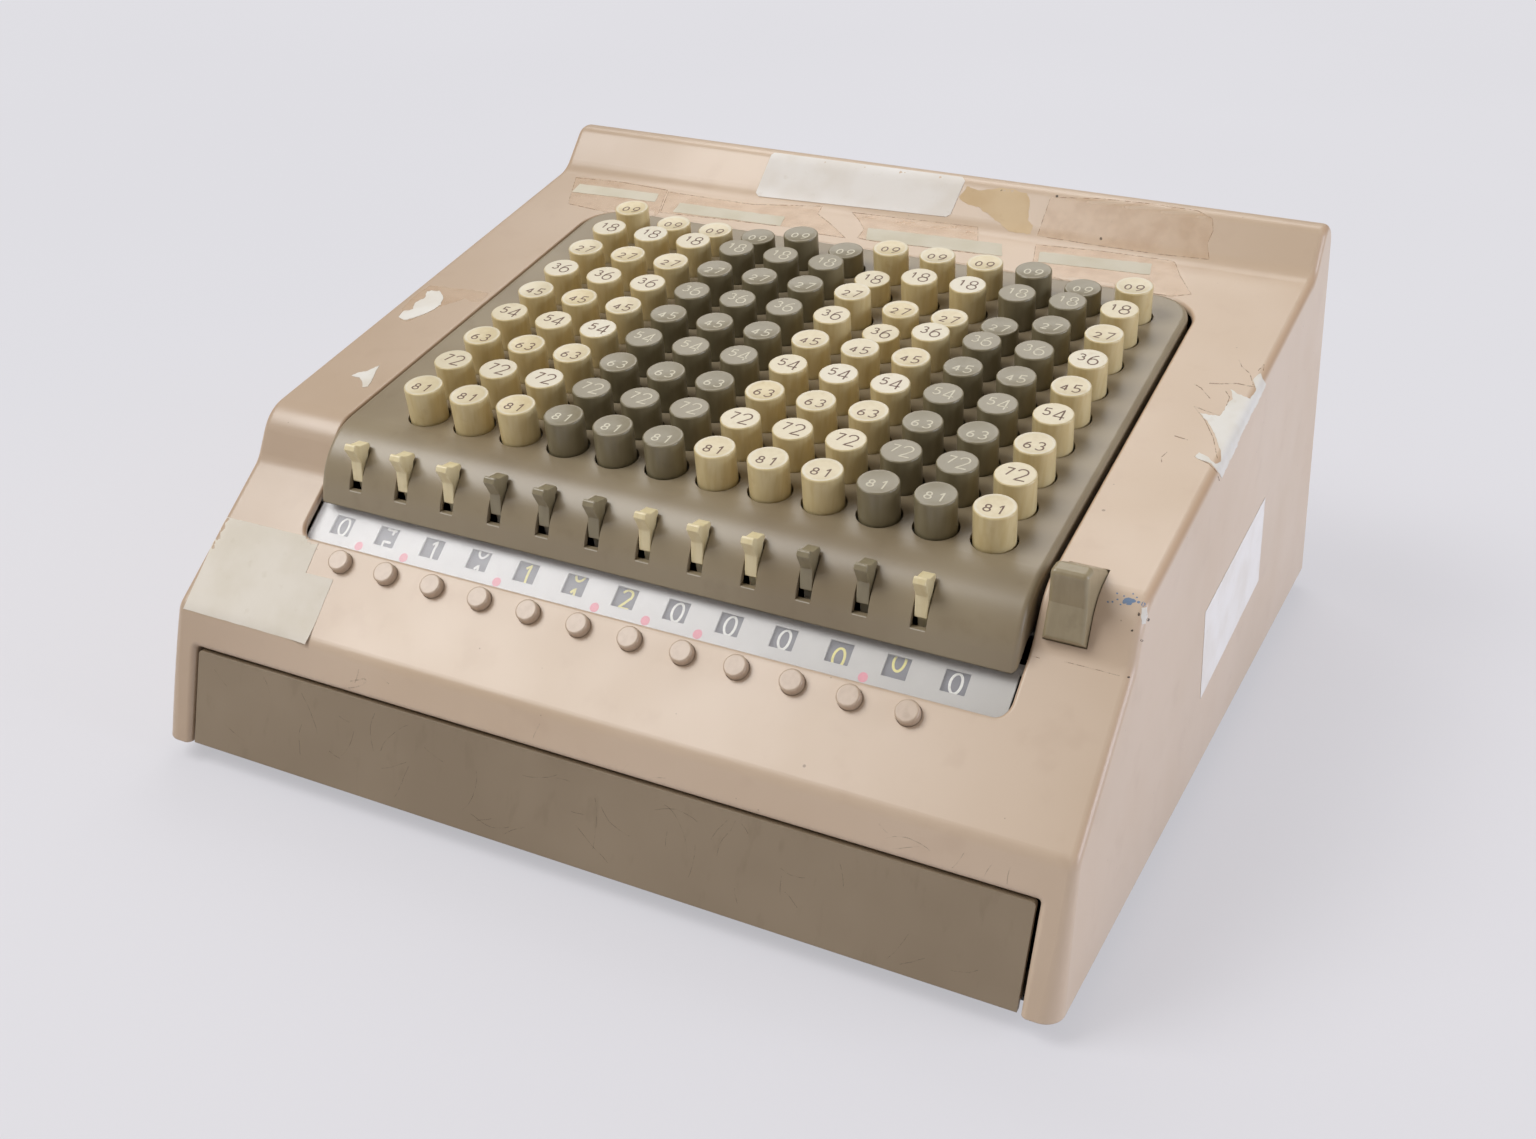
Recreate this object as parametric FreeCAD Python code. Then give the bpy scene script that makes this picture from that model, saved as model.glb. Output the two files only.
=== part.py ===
import FreeCAD, Part
import math
import os

# Key-driven desk calculator, in millimetres: +X right, +Y to the rear, +Z up.
# The origin is on the table, under the middle of the machine.

Vector = FreeCAD.Vector
RIGHT = Vector(1, 0, 0)
UP = Vector(0, 0, 1)

# Keyboard: columns stand across the machine, rows climb the sloping deck
COLUMN_PITCH = 19.05
COLUMNS = 12
ROWS = 9
ROW_PITCH = 18.54
FIRST_COLUMN_X = -99.4
DECK_SLOPE = math.radians(9.4)
DECK_FRONT_Y = -75.2
DECK_FRONT_Z = 113.55

# Key caps and the stems below them, lengths along the key's own axis
CAP_RADIUS = 6.8
CAP_ABOVE_DECK = 12.5
CAP_BELOW_DECK = 3.0
CAP_EDGE_ROUND = 0.5
CAP_DISH_RADIUS = 40.0
CAP_DISH_DEPTH = 0.45
CAP_HOLE_RADIUS = 7.5
STEM_RADIUS = 1.6
STEM_END_DEPTH = 43.0
KEY_TRAVEL = 6.0
STUCK_KEY_DROP = 4.0
STUCK_KEYS = ((2, 9), (3, 9), (4, 9), (6, 9), (7, 8), (8, 6), (8, 7), (9, 7), (10, 7), (11, 9))

# Outer casing: side outline and drafted, splayed sides
WALL = 2.2
CASING_BOTTOM = 8.0
CASING_DROP = 20.0
FRONT_Y = -158.0
REAR_Y = 158.0
CREASE_Y = -144.35
CREASE_Z = 56.0
APRON_SLOPE = math.radians(38.0)
FOLD_Y = -97.3
RISER_SLOPE = math.radians(64.0)
CASING_TOP_DEPTH = 1.5
HUMP_FOOT_Y = 123.0
HUMP_FRONT_Y = 136.0
HUMP_FRONT_Z = 160.2
HUMP_REAR_Y = 148.5
HUMP_REAR_Z = 161.8
CREASE_ROUND = 7.0
FOLD_ROUND = 11.0
RISER_ROUND = 15.0
HUMP_FOOT_ROUND = 13.0
HUMP_FRONT_ROUND = 6.0
HUMP_REAR_ROUND = 8.5
CREST_ROUND = 3.0
LEG_ROUND = 9.0
FRONT_HALF_WIDTH = 166.0
SPLAY = 0.030
DRAFT = 0.065
OPENING_MIDDLE_X = 0.9
OPENING_HALF_WIDTH = 129.9
OPENING_REAR_Y = 92.8
OPENING_REAR_ROUND = 17.0
OPENING_FRONT_ROUND = 4.5
OPENING_RIM_ROUND = 1.2

# Keyboard cover
COVER_WALL = 2.0
COVER_HALF_WIDTH = 128.2
COVER_REAR_S = 168.2
COVER_REAR_ROUND = 15.5
COVER_ROLL_RADIUS = 24.0
COVER_ROLL_CORNER_Y = -101.0
COVER_FACE_LEAN = math.radians(10.0)
COVER_EDGE_ROUND = 2.0
COVER_SIDE_DEPTH = 15.0
COVER_SIDE_START_Y = -84.0
COVER_DROP = 50.0
COVER_FOOT_Y = -104.0
COVER_FOOT_REACH = 20.0
COVER_FOOT_DEPTH = 8.0

# Window strip over the number wheels, measured up the apron from its lower edge
WINDOW_FRONT_Y = -115.05
WINDOW_HALF_WIDTH = 128.7
WINDOW_START = -2.2
WINDOW_END = 16.0
WINDOW_DEPTH = 2.6
WINDOW_THICKNESS = 1.6
WINDOW_CORNER = 3.0
MASK_START = -2.5
MASK_HALF_WIDTH = 129.4
MASK_EAR_START = 14.5
MASK_END = 18.0
MASK_THICKNESS = 0.6
APERTURE_WIDTH = 8.0
APERTURE_LENGTH = 7.3
APERTURE_MIDDLE = 7.4

# Number wheels
WHEELS = 13
FIRST_WHEEL_X = -117.3
WHEEL_RADIUS = 15.1
WHEEL_WIDTH = 10.0
WHEEL_RIM = 1.6
WHEEL_WEB = 2.0
WHEEL_DEPTH = 5.2
WHEEL_STEPS = 9
PINION_LENGTH = 4.25

# Shafts and their journals in the side frames
DIAL_SHAFT_RADIUS = 2.0
TAB_SHAFT_RADIUS = 2.0
LEVER_SHAFT_RADIUS = 3.0
TIE_ROD_RADIUS = 4.0
JOURNAL_STEP = 0.8
JOURNAL_PROUD = 1.5
RUNNING_CLEARANCE = 0.05

# Column levers, in deck co-ordinates about the rear shaft
LEVER_PIVOT_S = 187.0
LEVER_DEPTH = 49.0
LEVER_HEIGHT = 8.0
LEVER_THICKNESS = 2.0
LEVER_FRONT_S = -10.0
LEVER_BRIDGE_LENGTH = 4.0
LEVER_HUB_RADIUS = 6.5
LEVER_HUB_WIDTH = 8.0
LEVER_SWING = 0.12
SECTOR_OFFSET = 7.3
SECTOR_THICKNESS = 1.6
SECTOR_WIDTH = 5.0
SECTOR_SPARE = 0.008
SECTOR_GAP = 0.3

# Cut-off tabs
TAB_FIRST_X = -112.3
TAB_WIDTH = 4.3
TAB_SLOT_WIDTH = 5.2
TAB_SLOT_BOTTOM_Z = 93.4
TAB_SLOT_REAR_Y = -96.1
TAB_PIVOT_Y = -81.0
TAB_PIVOT_Z = 88.0
TAB_HUB_RADIUS = 4.5
TAB_EDGE_ROUND = 0.35
TAB_HEAD_Z = 101.0
TAB_OUTLINE = ((-104.8, 109.3, 0.4), (-101.6, 103.8, 0.8), (-101.7, 96.2, 0.5), (-99.0, 95.8, 0.5),
               (-98.0, 90.5, 1.5), (-83.0, 84.2, 0), (-80.0, 92.2, 0), (-85.0, 92.3, 1.5),
               (-95.0, 97.5, 1.5), (-97.9, 100.6, 1.0), (-97.0, 106.5, 0.6), (-95.5, 107.9, 0.4),
               (-96.2, 109.3, 0.6), (-101.2, 109.9, 3.0), (-103.7, 111.3, 0.8))
TAB_GROUPS = (("01_03", 1, 3), ("04_06", 4, 6), ("07_09", 7, 9), ("10_11", 10, 11), ("12", 12, 12))

# Decimal pegs on the apron
PEG_FIRST_X = -107.3
PEG_RADIUS = 3.9
PEG_HOLE_RADIUS = 4.05
PEG_ABOVE = 3.0
PEG_BELOW = 4.0
PEG_EDGE_ROUND = 0.7
PEG_UP_APRON = -7.3

# Clear key beside the keyboard
CLEAR_MIDDLE_X = 140.4
CLEAR_HALF_WIDTH = 6.5
CLEAR_DRAFT = 0.035
CLEAR_DRAFT_REACH = 40.0
CLEAR_GAP = 0.25
CLEAR_SLOPE = math.radians(-38.3)
CLEAR_LOW = (-98.7, 98.2)
CLEAR_CREASE = (-96.9, 109.3)
CLEAR_FRONT_TOP = (-99.3, 121.0)
CLEAR_TOP = (-93.4, 121.2)
CLEAR_BACK_TOP = (-76.8, 112.7)
CLEAR_FRONT_REACH = 9.0
CLEAR_BACK_REACH = 10.0
CLEAR_EDGE_ROUND = 1.6
CLEAR_SLOT_REACH = 30.0

# Front panel between the casing's legs
PANEL_HALF_WIDTH = 153.3
PANEL_OPENING_HALF_WIDTH = 154.5
PANEL_OPENING_TOP = 42.2
PANEL_TOP = 41.3
PANEL_BOTTOM = 8.2
PANEL_RECESS = 1.2
PANEL_THICKNESS = 2.0
PANEL_FLANGE = 12.0
PANEL_FLANGE_THICKNESS = 1.5
PANEL_CORNER = 1.2
PANEL_RIM_DEPTH = 4.5
PANEL_RIM_ROUND = 2.2

# Base plate, feet and screws
BASE_UNDERSIDE = 9.0
BASE_THICKNESS = 1.5
BASE_SETBACK = 6.0
BASE_TOP = BASE_UNDERSIDE + BASE_THICKNESS
FOOT_RADIUS = 10.0
FOOT_TOP_RADIUS = 12.0
FOOT_X = 142.0
FOOT_Y = 128.0
SCREW_RADIUS = 2.0
SCREW_HEAD_RADIUS = 3.8
SCREW_HEAD_HEIGHT = 1.8
SCREW_CLEARANCE = 0.1
SCREW_PROUD = 2.0
SCREW_YS = (-95.0, 10.0, 110.0)

# Side frames and the key guides between them
FRAME_INNER_X = 131.0
FRAME_THICKNESS = 2.5
FRAME_FLANGE = 12.0
FRAME_OUTLINE = ((-108.0, BASE_TOP, 0), (-108.0, 72.0, 4), (-90.0, 96.0, 4), (-84.0, 103.0, 4),
                 (126.0, 137.8, 6), (126.0, BASE_TOP, 0))
TIE_ROD_PLACES = ((-70.0, 22.0), (60.0, 22.0), (117.0, 55.0))
GUIDE_THICKNESS = 1.2
GUIDE_FRONT_S = -8.5
UPPER_GUIDE_DEPTH = 15.0
LOWER_GUIDE_DEPTH = 36.0
LOWER_GUIDE_REAR_S = 160.0

# Longer than anything in the machine, how far a cut runs past what it cuts, and the slack when places
# are compared
FAR = 300.0
CUT_REACH = 5.0
TOLERANCE = 0.01


def deck_point(x, s, depth):
    """A point s up the deck from the first key row and depth below its surface."""
    y = DECK_FRONT_Y + s * math.cos(DECK_SLOPE) + depth * math.sin(DECK_SLOPE)
    z = DECK_FRONT_Z + s * math.sin(DECK_SLOPE) - depth * math.cos(DECK_SLOPE)
    return Vector(x, y, z)


def deck_height(y, depth=0.0):
    """Height of the plane that lies depth below the deck, at y."""
    return DECK_FRONT_Z + (y - DECK_FRONT_Y) * math.tan(DECK_SLOPE) - depth / math.cos(DECK_SLOPE)


def apron_height(y):
    return CREASE_Z + (y - CREASE_Y) * math.tan(APRON_SLOPE)


def apron_point(x, s, depth):
    """A point s up the apron from the window's lower edge and depth below its surface."""
    y = WINDOW_FRONT_Y + s * math.cos(APRON_SLOPE) + depth * math.sin(APRON_SLOPE)
    z = apron_height(WINDOW_FRONT_Y) + s * math.sin(APRON_SLOPE) - depth * math.cos(APRON_SLOPE)
    return Vector(x, y, z)


def column_x(column):
    return FIRST_COLUMN_X + COLUMN_PITCH * (column - 1)


def wheel_x(wheel):
    return FIRST_WHEEL_X + COLUMN_PITCH * (wheel - 1)


def side_plane(x):
    """Places an outline given as (y, z) in the plane of that x."""
    return lambda y, z: Vector(x, y, z)


def rounded_wire(points, place):
    """Closed wire through (a, b, corner radius) points, put in space by place."""
    edges = []
    starts = []
    ends = []
    count = len(points)
    for i, (a, b, radius) in enumerate(points):
        corner = place(a, b)
        if radius == 0:
            starts.append(corner)
            ends.append(corner)
            continue
        to_last = (place(*points[i - 1][:2]) - corner).normalize()
        to_next = (place(*points[(i + 1) % count][:2]) - corner).normalize()
        half = to_last.getAngle(to_next) / 2
        middle = (to_last + to_next).normalize()
        starts.append(corner + to_last * (radius / math.tan(half)))
        ends.append(corner + to_next * (radius / math.tan(half)))
        crown = corner + middle * (radius / math.sin(half) - radius)
        edges.append((i, Part.Arc(starts[i], crown, ends[i]).toShape()))
    arcs = dict(edges)
    ordered = []
    for i in range(count):
        if i in arcs:
            ordered.append(arcs[i])
        ordered.append(Part.LineSegment(ends[i], starts[(i + 1) % count]).toShape())
    return Part.Wire(ordered)


def slab(points, place, push):
    """Solid made by pushing a rounded outline along a vector."""
    return Part.Face(rounded_wire(points, place)).extrude(push)


def across(points, x_low, x_high):
    """Solid with a side outline of (y, z, radius) points between two x values."""
    return slab(points, side_plane(x_low), RIGHT * (x_high - x_low))


def inset(points, distance):
    """The outline moved inwards by distance, with concentric corner radii."""
    count = len(points)
    area = sum(points[i][0] * points[(i + 1) % count][1] - points[(i + 1) % count][0] * points[i][1]
               for i in range(count))
    turn = 1 if area > 0 else -1
    moved = []
    for i in range(count):
        before, here, after = points[i - 1], points[i], points[(i + 1) % count]
        first = (here[0] - before[0], here[1] - before[1])
        second = (after[0] - here[0], after[1] - here[1])
        long_1 = math.hypot(*first)
        long_2 = math.hypot(*second)
        normal_1 = (-first[1] / long_1 * turn, first[0] / long_1 * turn)
        normal_2 = (-second[1] / long_2 * turn, second[0] / long_2 * turn)
        share = distance / (1 + normal_1[0] * normal_2[0] + normal_1[1] * normal_2[1])
        bend = (first[0] * second[1] - first[1] * second[0]) * turn
        radius = here[2]
        if radius:
            radius = radius - distance if bend > 0 else radius + distance
        moved.append((here[0] + share * (normal_1[0] + normal_2[0]),
                      here[1] + share * (normal_1[1] + normal_2[1]), radius))
    return moved


def rod(centre, radius, length, direction):
    """Cylinder that starts at centre and runs along direction."""
    return Part.makeCylinder(radius, length, centre, direction)


def cross_rod(y, z, radius, x_low, x_high):
    return rod(Vector(x_low, y, z), radius, x_high - x_low, RIGHT)


def fuse_all(shapes):
    return shapes[0].multiFuse(shapes[1:]).removeSplitter()


def polyhedron(corners):
    """Six-sided solid from eight corners: four of the low end, then four of the high end."""
    faces = [corners[:4], corners[4:]]
    faces += [[corners[i], corners[(i + 1) % 4], corners[(i + 1) % 4 + 4], corners[i + 4]] for i in range(4)]
    shell = Part.makeShell([Part.Face(Part.makePolygon(face + face[:1])) for face in faces])
    return Part.makeSolid(shell)


def half_width(y, z):
    """Half the casing's width, which grows to the rear and shrinks upwards."""
    return FRONT_HALF_WIDTH + SPLAY * (y - FRONT_Y) - DRAFT * (z - CASING_BOTTOM)


def between_sides(wall):
    """The wedge-shaped space between the casing's two sides, a wall in from them."""
    corners = []
    for z in (-FAR, FAR):
        for side, y in ((-1, -FAR), (1, -FAR), (1, FAR), (-1, FAR)):
            corners.append(Vector(side * (half_width(y, z) - wall), y, z))
    return polyhedron(corners)


def front_lean():
    """How far the front face leans back for each millimetre of height."""
    return (CREASE_Y - FRONT_Y) / (CREASE_Z - CASING_BOTTOM)


def casing_outline():
    """Side outline of the casing, carried on below its open bottom."""
    lean = front_lean()
    rear_lean = (REAR_Y - HUMP_REAR_Y) / (HUMP_REAR_Z - CASING_BOTTOM)
    fold_z = apron_height(FOLD_Y)
    rise = math.tan(RISER_SLOPE)
    deck_rise = math.tan(DECK_SLOPE)
    riser_y = (fold_z - rise * FOLD_Y - deck_height(0, CASING_TOP_DEPTH)) / (deck_rise - rise)
    return [(FRONT_Y - lean * CASING_DROP, CASING_BOTTOM - CASING_DROP, 0),
            (CREASE_Y, CREASE_Z, CREASE_ROUND),
            (FOLD_Y, fold_z, FOLD_ROUND),
            (riser_y, deck_height(riser_y, CASING_TOP_DEPTH), RISER_ROUND),
            (HUMP_FOOT_Y, deck_height(HUMP_FOOT_Y, CASING_TOP_DEPTH), HUMP_FOOT_ROUND),
            (HUMP_FRONT_Y, HUMP_FRONT_Z, HUMP_FRONT_ROUND),
            (HUMP_REAR_Y, HUMP_REAR_Z, HUMP_REAR_ROUND),
            (REAR_Y + rear_lean * CASING_DROP, CASING_BOTTOM - CASING_DROP, 0)]


def edge_spots(edge):
    """The start, the middle and the end of an edge."""
    low, high = edge.ParameterRange
    return [edge.valueAt(low + (high - low) * share) for share in (0, 0.5, 1)]


def on_casing_side(edge):
    spots = edge_spots(edge)
    on_side = all(abs(abs(spot.x) - half_width(spot.y, spot.z)) < TOLERANCE for spot in spots)
    return on_side and max(spot.z for spot in spots) > CASING_BOTTOM


def round_sides(body):
    """Rounds the casing's side edges: tight along the top, growing down the front corners."""
    for side in (-1, 1):
        leg = [edge for edge in body.Edges if on_casing_side(edge) and on_front_corner(edge, side)][0]
        top_first = leg.valueAt(leg.FirstParameter).z > leg.valueAt(leg.LastParameter).z
        start, end = (CREST_ROUND, LEG_ROUND) if top_first else (LEG_ROUND, CREST_ROUND)
        body = body.makeFillet(start, end, [leg])
    return body


def on_front_corner(edge, side):
    """True for the upright front edge below the crease; side is -1 for the left one."""
    return all(spot.x * side > 0 and spot.y < CREASE_Y and spot.z < CREASE_Z for spot in edge_spots(edge))


def on_outer_face(spots, body):
    skin = body.Shells[0]
    return all(Part.Vertex(spot).distToShape(skin)[0] < TOLERANCE for spot in spots)


def on_keyboard_rim(edge, body):
    """True where the keyboard opening meets the casing's outer face."""
    spots = edge_spots(edge)
    in_width = all(abs(spot.x - OPENING_MIDDLE_X) < OPENING_HALF_WIDTH + TOLERANCE for spot in spots)
    in_depth = all(WINDOW_FRONT_Y - TOLERANCE < spot.y < OPENING_REAR_Y + TOLERANCE for spot in spots)
    return in_width and in_depth and on_outer_face(spots, body)


def on_panel_rim(edge, body):
    """True where the front panel's opening meets the casing's outer face."""
    spots = edge_spots(edge)
    in_width = all(abs(spot.x) < PANEL_OPENING_HALF_WIDTH + TOLERANCE for spot in spots)
    in_height = all(spot.z < PANEL_OPENING_TOP + TOLERANCE and spot.y < CREASE_Y for spot in spots)
    return in_width and in_height and on_outer_face(spots, body)


def casing_inside():
    return across(inset(casing_outline(), WALL), -FAR, FAR).common(between_sides(WALL))


def keyboard_opening():
    left = OPENING_MIDDLE_X - OPENING_HALF_WIDTH
    right = OPENING_MIDDLE_X + OPENING_HALF_WIDTH
    plan = [(left, WINDOW_FRONT_Y, OPENING_FRONT_ROUND), (right, WINDOW_FRONT_Y, OPENING_FRONT_ROUND),
            (right, OPENING_REAR_Y, OPENING_REAR_ROUND), (left, OPENING_REAR_Y, OPENING_REAR_ROUND)]
    return slab(plan, lambda x, y: Vector(x, y, 0), UP * FAR)


def panel_opening(grow):
    """The opening between the legs, larger by grow on each side and at its top."""
    half = PANEL_OPENING_HALF_WIDTH + grow
    top = PANEL_OPENING_TOP + grow
    corner = PANEL_CORNER + grow
    outline = [(-half, -FAR, 0), (half, -FAR, 0), (half, top, corner), (-half, top, corner)]
    return slab(outline, lambda x, z: Vector(x, -FAR, z), Vector(0, FAR, 0))


def panel_rim():
    """The rolled edge of the panel opening, before the opening is cut through it."""
    outline = casing_outline()
    depth = PANEL_RIM_DEPTH * math.hypot(1, front_lean())
    low, crease = outline[0], outline[1]
    band = [(low[0], low[1], 0), (low[0] + depth, low[1], 0),
            (crease[0] + depth, crease[1], 0), (crease[0], crease[1], 0)]
    return across(band, -FAR, FAR).common(panel_opening(WALL))


def outer_casing():
    """Painted shell with its keyboard, window, panel, peg and clear-key openings."""
    body = round_sides(across(casing_outline(), -FAR, FAR).common(between_sides(0)))
    shell = body.cut(casing_inside().cut(panel_rim()))
    shell = shell.cut(keyboard_opening())
    shell = shell.makeFillet(OPENING_RIM_ROUND, [edge for edge in shell.Edges if on_keyboard_rim(edge, body)])
    shell = shell.cut(panel_opening(0))
    shell = shell.makeFillet(PANEL_RIM_ROUND, [edge for edge in shell.Edges if on_panel_rim(edge, body)])
    shell = shell.common(Part.makeBox(2 * FAR, 2 * FAR, FAR, Vector(-FAR, -FAR, CASING_BOTTOM)))
    cuts = [clear_key_slot()]
    down = apron_point(0, 0, 1) - apron_point(0, 0, 0)
    for peg in range(COLUMNS):
        start = apron_point(PEG_FIRST_X + COLUMN_PITCH * peg, PEG_UP_APRON, -CUT_REACH)
        cuts.append(rod(start, PEG_HOLE_RADIUS, 2 * CUT_REACH, down))
    for cut in cuts:
        shell = shell.cut(cut)
    return shell


def cover_outline():
    """Side outline of the cover as if its front face and rear wall went on downwards."""
    corner_z = deck_height(COVER_ROLL_CORNER_Y)
    rear_top = deck_point(0, COVER_REAR_S, 0)
    rear_low = deck_point(0, COVER_REAR_S, COVER_DROP)
    return [(COVER_ROLL_CORNER_Y - COVER_DROP * math.tan(COVER_FACE_LEAN), corner_z - COVER_DROP, 0),
            (COVER_ROLL_CORNER_Y, corner_z, COVER_ROLL_RADIUS),
            (rear_top.y, rear_top.z, 0),
            (rear_low.y, rear_low.z, 0)]


def cover_block(wall):
    """The cover as a solid, a wall in from its outside, with its rounded rear corners."""
    left = OPENING_MIDDLE_X - COVER_HALF_WIDTH + wall
    right = OPENING_MIDDLE_X + COVER_HALF_WIDTH - wall
    rear = COVER_REAR_S - wall
    radius = COVER_REAR_ROUND - wall
    plan = [(left, -FAR, 0), (right, -FAR, 0), (right, rear, radius), (left, rear, radius)]
    normal = deck_point(0, 0, -1) - deck_point(0, 0, 0)
    post = slab(plan, lambda x, s: deck_point(x, s, FAR), normal * 2 * FAR)
    outline = cover_outline()
    if wall:
        outline = inset(outline, wall)
    return across(outline, left, right).common(post)


def on_cover_rim(edge):
    spots = edge_spots(edge)
    on_deck = all(abs(spot.z - deck_height(spot.y)) < TOLERANCE for spot in spots)
    reach = [abs(spot.x - OPENING_MIDDLE_X) for spot in spots]
    on_side = all(abs(x - COVER_HALF_WIDTH) < TOLERANCE for x in reach)
    in_front = max(spot.y for spot in spots) < DECK_FRONT_Y
    inner_seam = all(x < COVER_HALF_WIDTH - TOLERANCE for x in reach) and in_front
    return (on_deck and not inner_seam and not across_deck(spots)) or (on_side and in_front)


def across_deck(spots):
    """True for the seam where the flat deck meets the front roll."""
    return spots[0].y < DECK_FRONT_Y and abs(spots[0].y - spots[-1].y) < TOLERANCE


def keyboard_cover():
    """Olive cover over the keyboard, with its key holes and tab slots."""
    body = cover_block(0)
    body = body.makeFillet(COVER_EDGE_ROUND, [edge for edge in body.Edges if on_cover_rim(edge)])
    shell = body.cut(cover_block(COVER_WALL))
    front_y = COVER_FOOT_Y - COVER_FOOT_REACH
    back_y = COVER_FOOT_Y + COVER_FOOT_DEPTH
    keep = [(front_y, apron_height(front_y), 0),
            (front_y, FAR, 0),
            (FAR, FAR, 0),
            (FAR, deck_height(FAR, COVER_SIDE_DEPTH), 0),
            (COVER_SIDE_START_Y, deck_height(COVER_SIDE_START_Y, COVER_SIDE_DEPTH), 0),
            (back_y, apron_height(back_y), 0)]
    shell = shell.common(across(keep, -FAR, FAR))
    normal = deck_point(0, 0, -1) - deck_point(0, 0, 0)
    holes = []
    for column in range(1, COLUMNS + 1):
        for row in range(ROWS):
            foot = deck_point(column_x(column), row * ROW_PITCH, CUT_REACH)
            holes.append(rod(foot, CAP_HOLE_RADIUS, 2 * CUT_REACH, normal))
    shell = shell.cut(Part.makeCompound(holes))
    slot = [(-FAR, TAB_SLOT_BOTTOM_Z, 0), (TAB_SLOT_REAR_Y, TAB_SLOT_BOTTOM_Z, 0),
            (TAB_SLOT_REAR_Y, FAR, 0), (-FAR, FAR, 0)]
    slots = []
    for tab in range(COLUMNS):
        middle = TAB_FIRST_X + COLUMN_PITCH * tab
        slots.append(across(slot, middle - TAB_SLOT_WIDTH / 2, middle + TAB_SLOT_WIDTH / 2))
    return shell.cut(Part.makeCompound(slots))


def key_cap(dished, drop):
    """One cap standing on Z = 0, the deck, before it is tilted and put in its place."""
    bottom = -CAP_BELOW_DECK - drop
    top = CAP_ABOVE_DECK - drop
    cap = Part.makeCylinder(CAP_RADIUS, top - bottom, Vector(0, 0, bottom))
    rim = [edge for edge in cap.Edges
           if edge.Length > CAP_RADIUS and abs(edge.CenterOfMass.z - top) < TOLERANCE]
    cap = cap.makeFillet(CAP_EDGE_ROUND, rim)
    if dished:
        ball = Part.makeSphere(CAP_DISH_RADIUS, Vector(0, 0, top + CAP_DISH_RADIUS - CAP_DISH_DEPTH))
        cap = cap.cut(ball)
    stem = Part.makeCylinder(STEM_RADIUS, STEM_END_DEPTH + bottom, Vector(0, 0, -STEM_END_DEPTH))
    return [cap, stem]


def keys_column(column):
    """The caps and stems of one column; odd digits have dished tops."""
    pieces = []
    tilt = FreeCAD.Rotation(RIGHT, math.degrees(DECK_SLOPE))
    for row in range(1, ROWS + 1):
        drop = STUCK_KEY_DROP if (column, row) in STUCK_KEYS else 0
        place = FreeCAD.Placement(deck_point(column_x(column), (row - 1) * ROW_PITCH, 0), tilt)
        for piece in key_cap(row % 2 == 1, drop):
            piece.Placement = place
            pieces.append(piece)
    return Part.makeCompound(pieces)


def key_guide(depth, rear_s):
    """Plate across the machine, parallel to the deck, with a bore for each stem."""
    half = FRAME_INNER_X
    plan = [(-half, GUIDE_FRONT_S, 0), (half, GUIDE_FRONT_S, 0), (half, rear_s, 0), (-half, rear_s, 0)]
    normal = deck_point(0, 0, -1) - deck_point(0, 0, 0)
    plate = slab(plan, lambda x, s: deck_point(x, s, depth + GUIDE_THICKNESS), normal * GUIDE_THICKNESS)
    bores = []
    for column in range(1, COLUMNS + 1):
        for row in range(ROWS):
            foot = deck_point(column_x(column), row * ROW_PITCH, depth + 2 * GUIDE_THICKNESS)
            bores.append(rod(foot, STEM_RADIUS + RUNNING_CLEARANCE, 3 * GUIDE_THICKNESS, normal))
    return plate.cut(Part.makeCompound(bores))


def wheel_centre():
    return apron_point(0, APERTURE_MIDDLE, WHEEL_DEPTH + WHEEL_RADIUS)


def lever_pivot():
    return deck_point(0, LEVER_PIVOT_S, LEVER_DEPTH)


def pinion_radius():
    """Radius that turns a wheel its nine steps while the lever swings once."""
    turn = WHEEL_STEPS * math.pi / 5
    reach = (wheel_centre() - lever_pivot()).Length - SECTOR_GAP
    return reach * LEVER_SWING / (turn + LEVER_SWING)


def number_wheel(wheel):
    """Hollow drum on a hub, with its plain driving pinion on the left."""
    half = WHEEL_WIDTH / 2
    bore = DIAL_SHAFT_RADIUS + RUNNING_CLEARANCE
    pinion = pinion_radius()
    section = [(-half - PINION_LENGTH, bore), (-half - PINION_LENGTH, pinion), (-half, pinion),
               (-half, WHEEL_RADIUS), (half, WHEEL_RADIUS), (half, WHEEL_RADIUS - WHEEL_RIM),
               (WHEEL_WEB - half, WHEEL_RADIUS - WHEEL_RIM), (WHEEL_WEB - half, pinion),
               (half, pinion), (half, bore)]
    centre = wheel_centre()
    corners = [Vector(wheel_x(wheel) + x, centre.y, centre.z + r) for x, r in section]
    face = Part.Face(Part.makePolygon(corners + corners[:1]))
    return face.revolve(centre, RIGHT, 360)


def ring_sector(centre, inner, outer, start, end, x_low, x_high):
    """Part of a flat ring about a cross axis, between two angles in the YZ plane."""
    def spot(radius, angle):
        return Vector(x_low, centre.y + radius * math.cos(angle), centre.z + radius * math.sin(angle))
    middle = (start + end) / 2
    edges = [Part.Arc(spot(outer, start), spot(outer, middle), spot(outer, end)).toShape(),
             Part.LineSegment(spot(outer, end), spot(inner, end)).toShape(),
             Part.Arc(spot(inner, end), spot(inner, middle), spot(inner, start)).toShape(),
             Part.LineSegment(spot(inner, start), spot(outer, start)).toShape()]
    return Part.Face(Part.Wire(edges)).extrude(RIGHT * (x_high - x_low))


def deck_bar(x_low, x_high, s_low, s_high, depth_low, depth_high):
    """Box whose edges follow the deck's slope."""
    spots = [(s_low, depth_low), (s_high, depth_low), (s_high, depth_high), (s_low, depth_high)]
    corners = [deck_point(x_low, s, depth) for s, depth in spots]
    return Part.Face(Part.makePolygon(corners + corners[:1])).extrude(RIGHT * (x_high - x_low))


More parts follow.
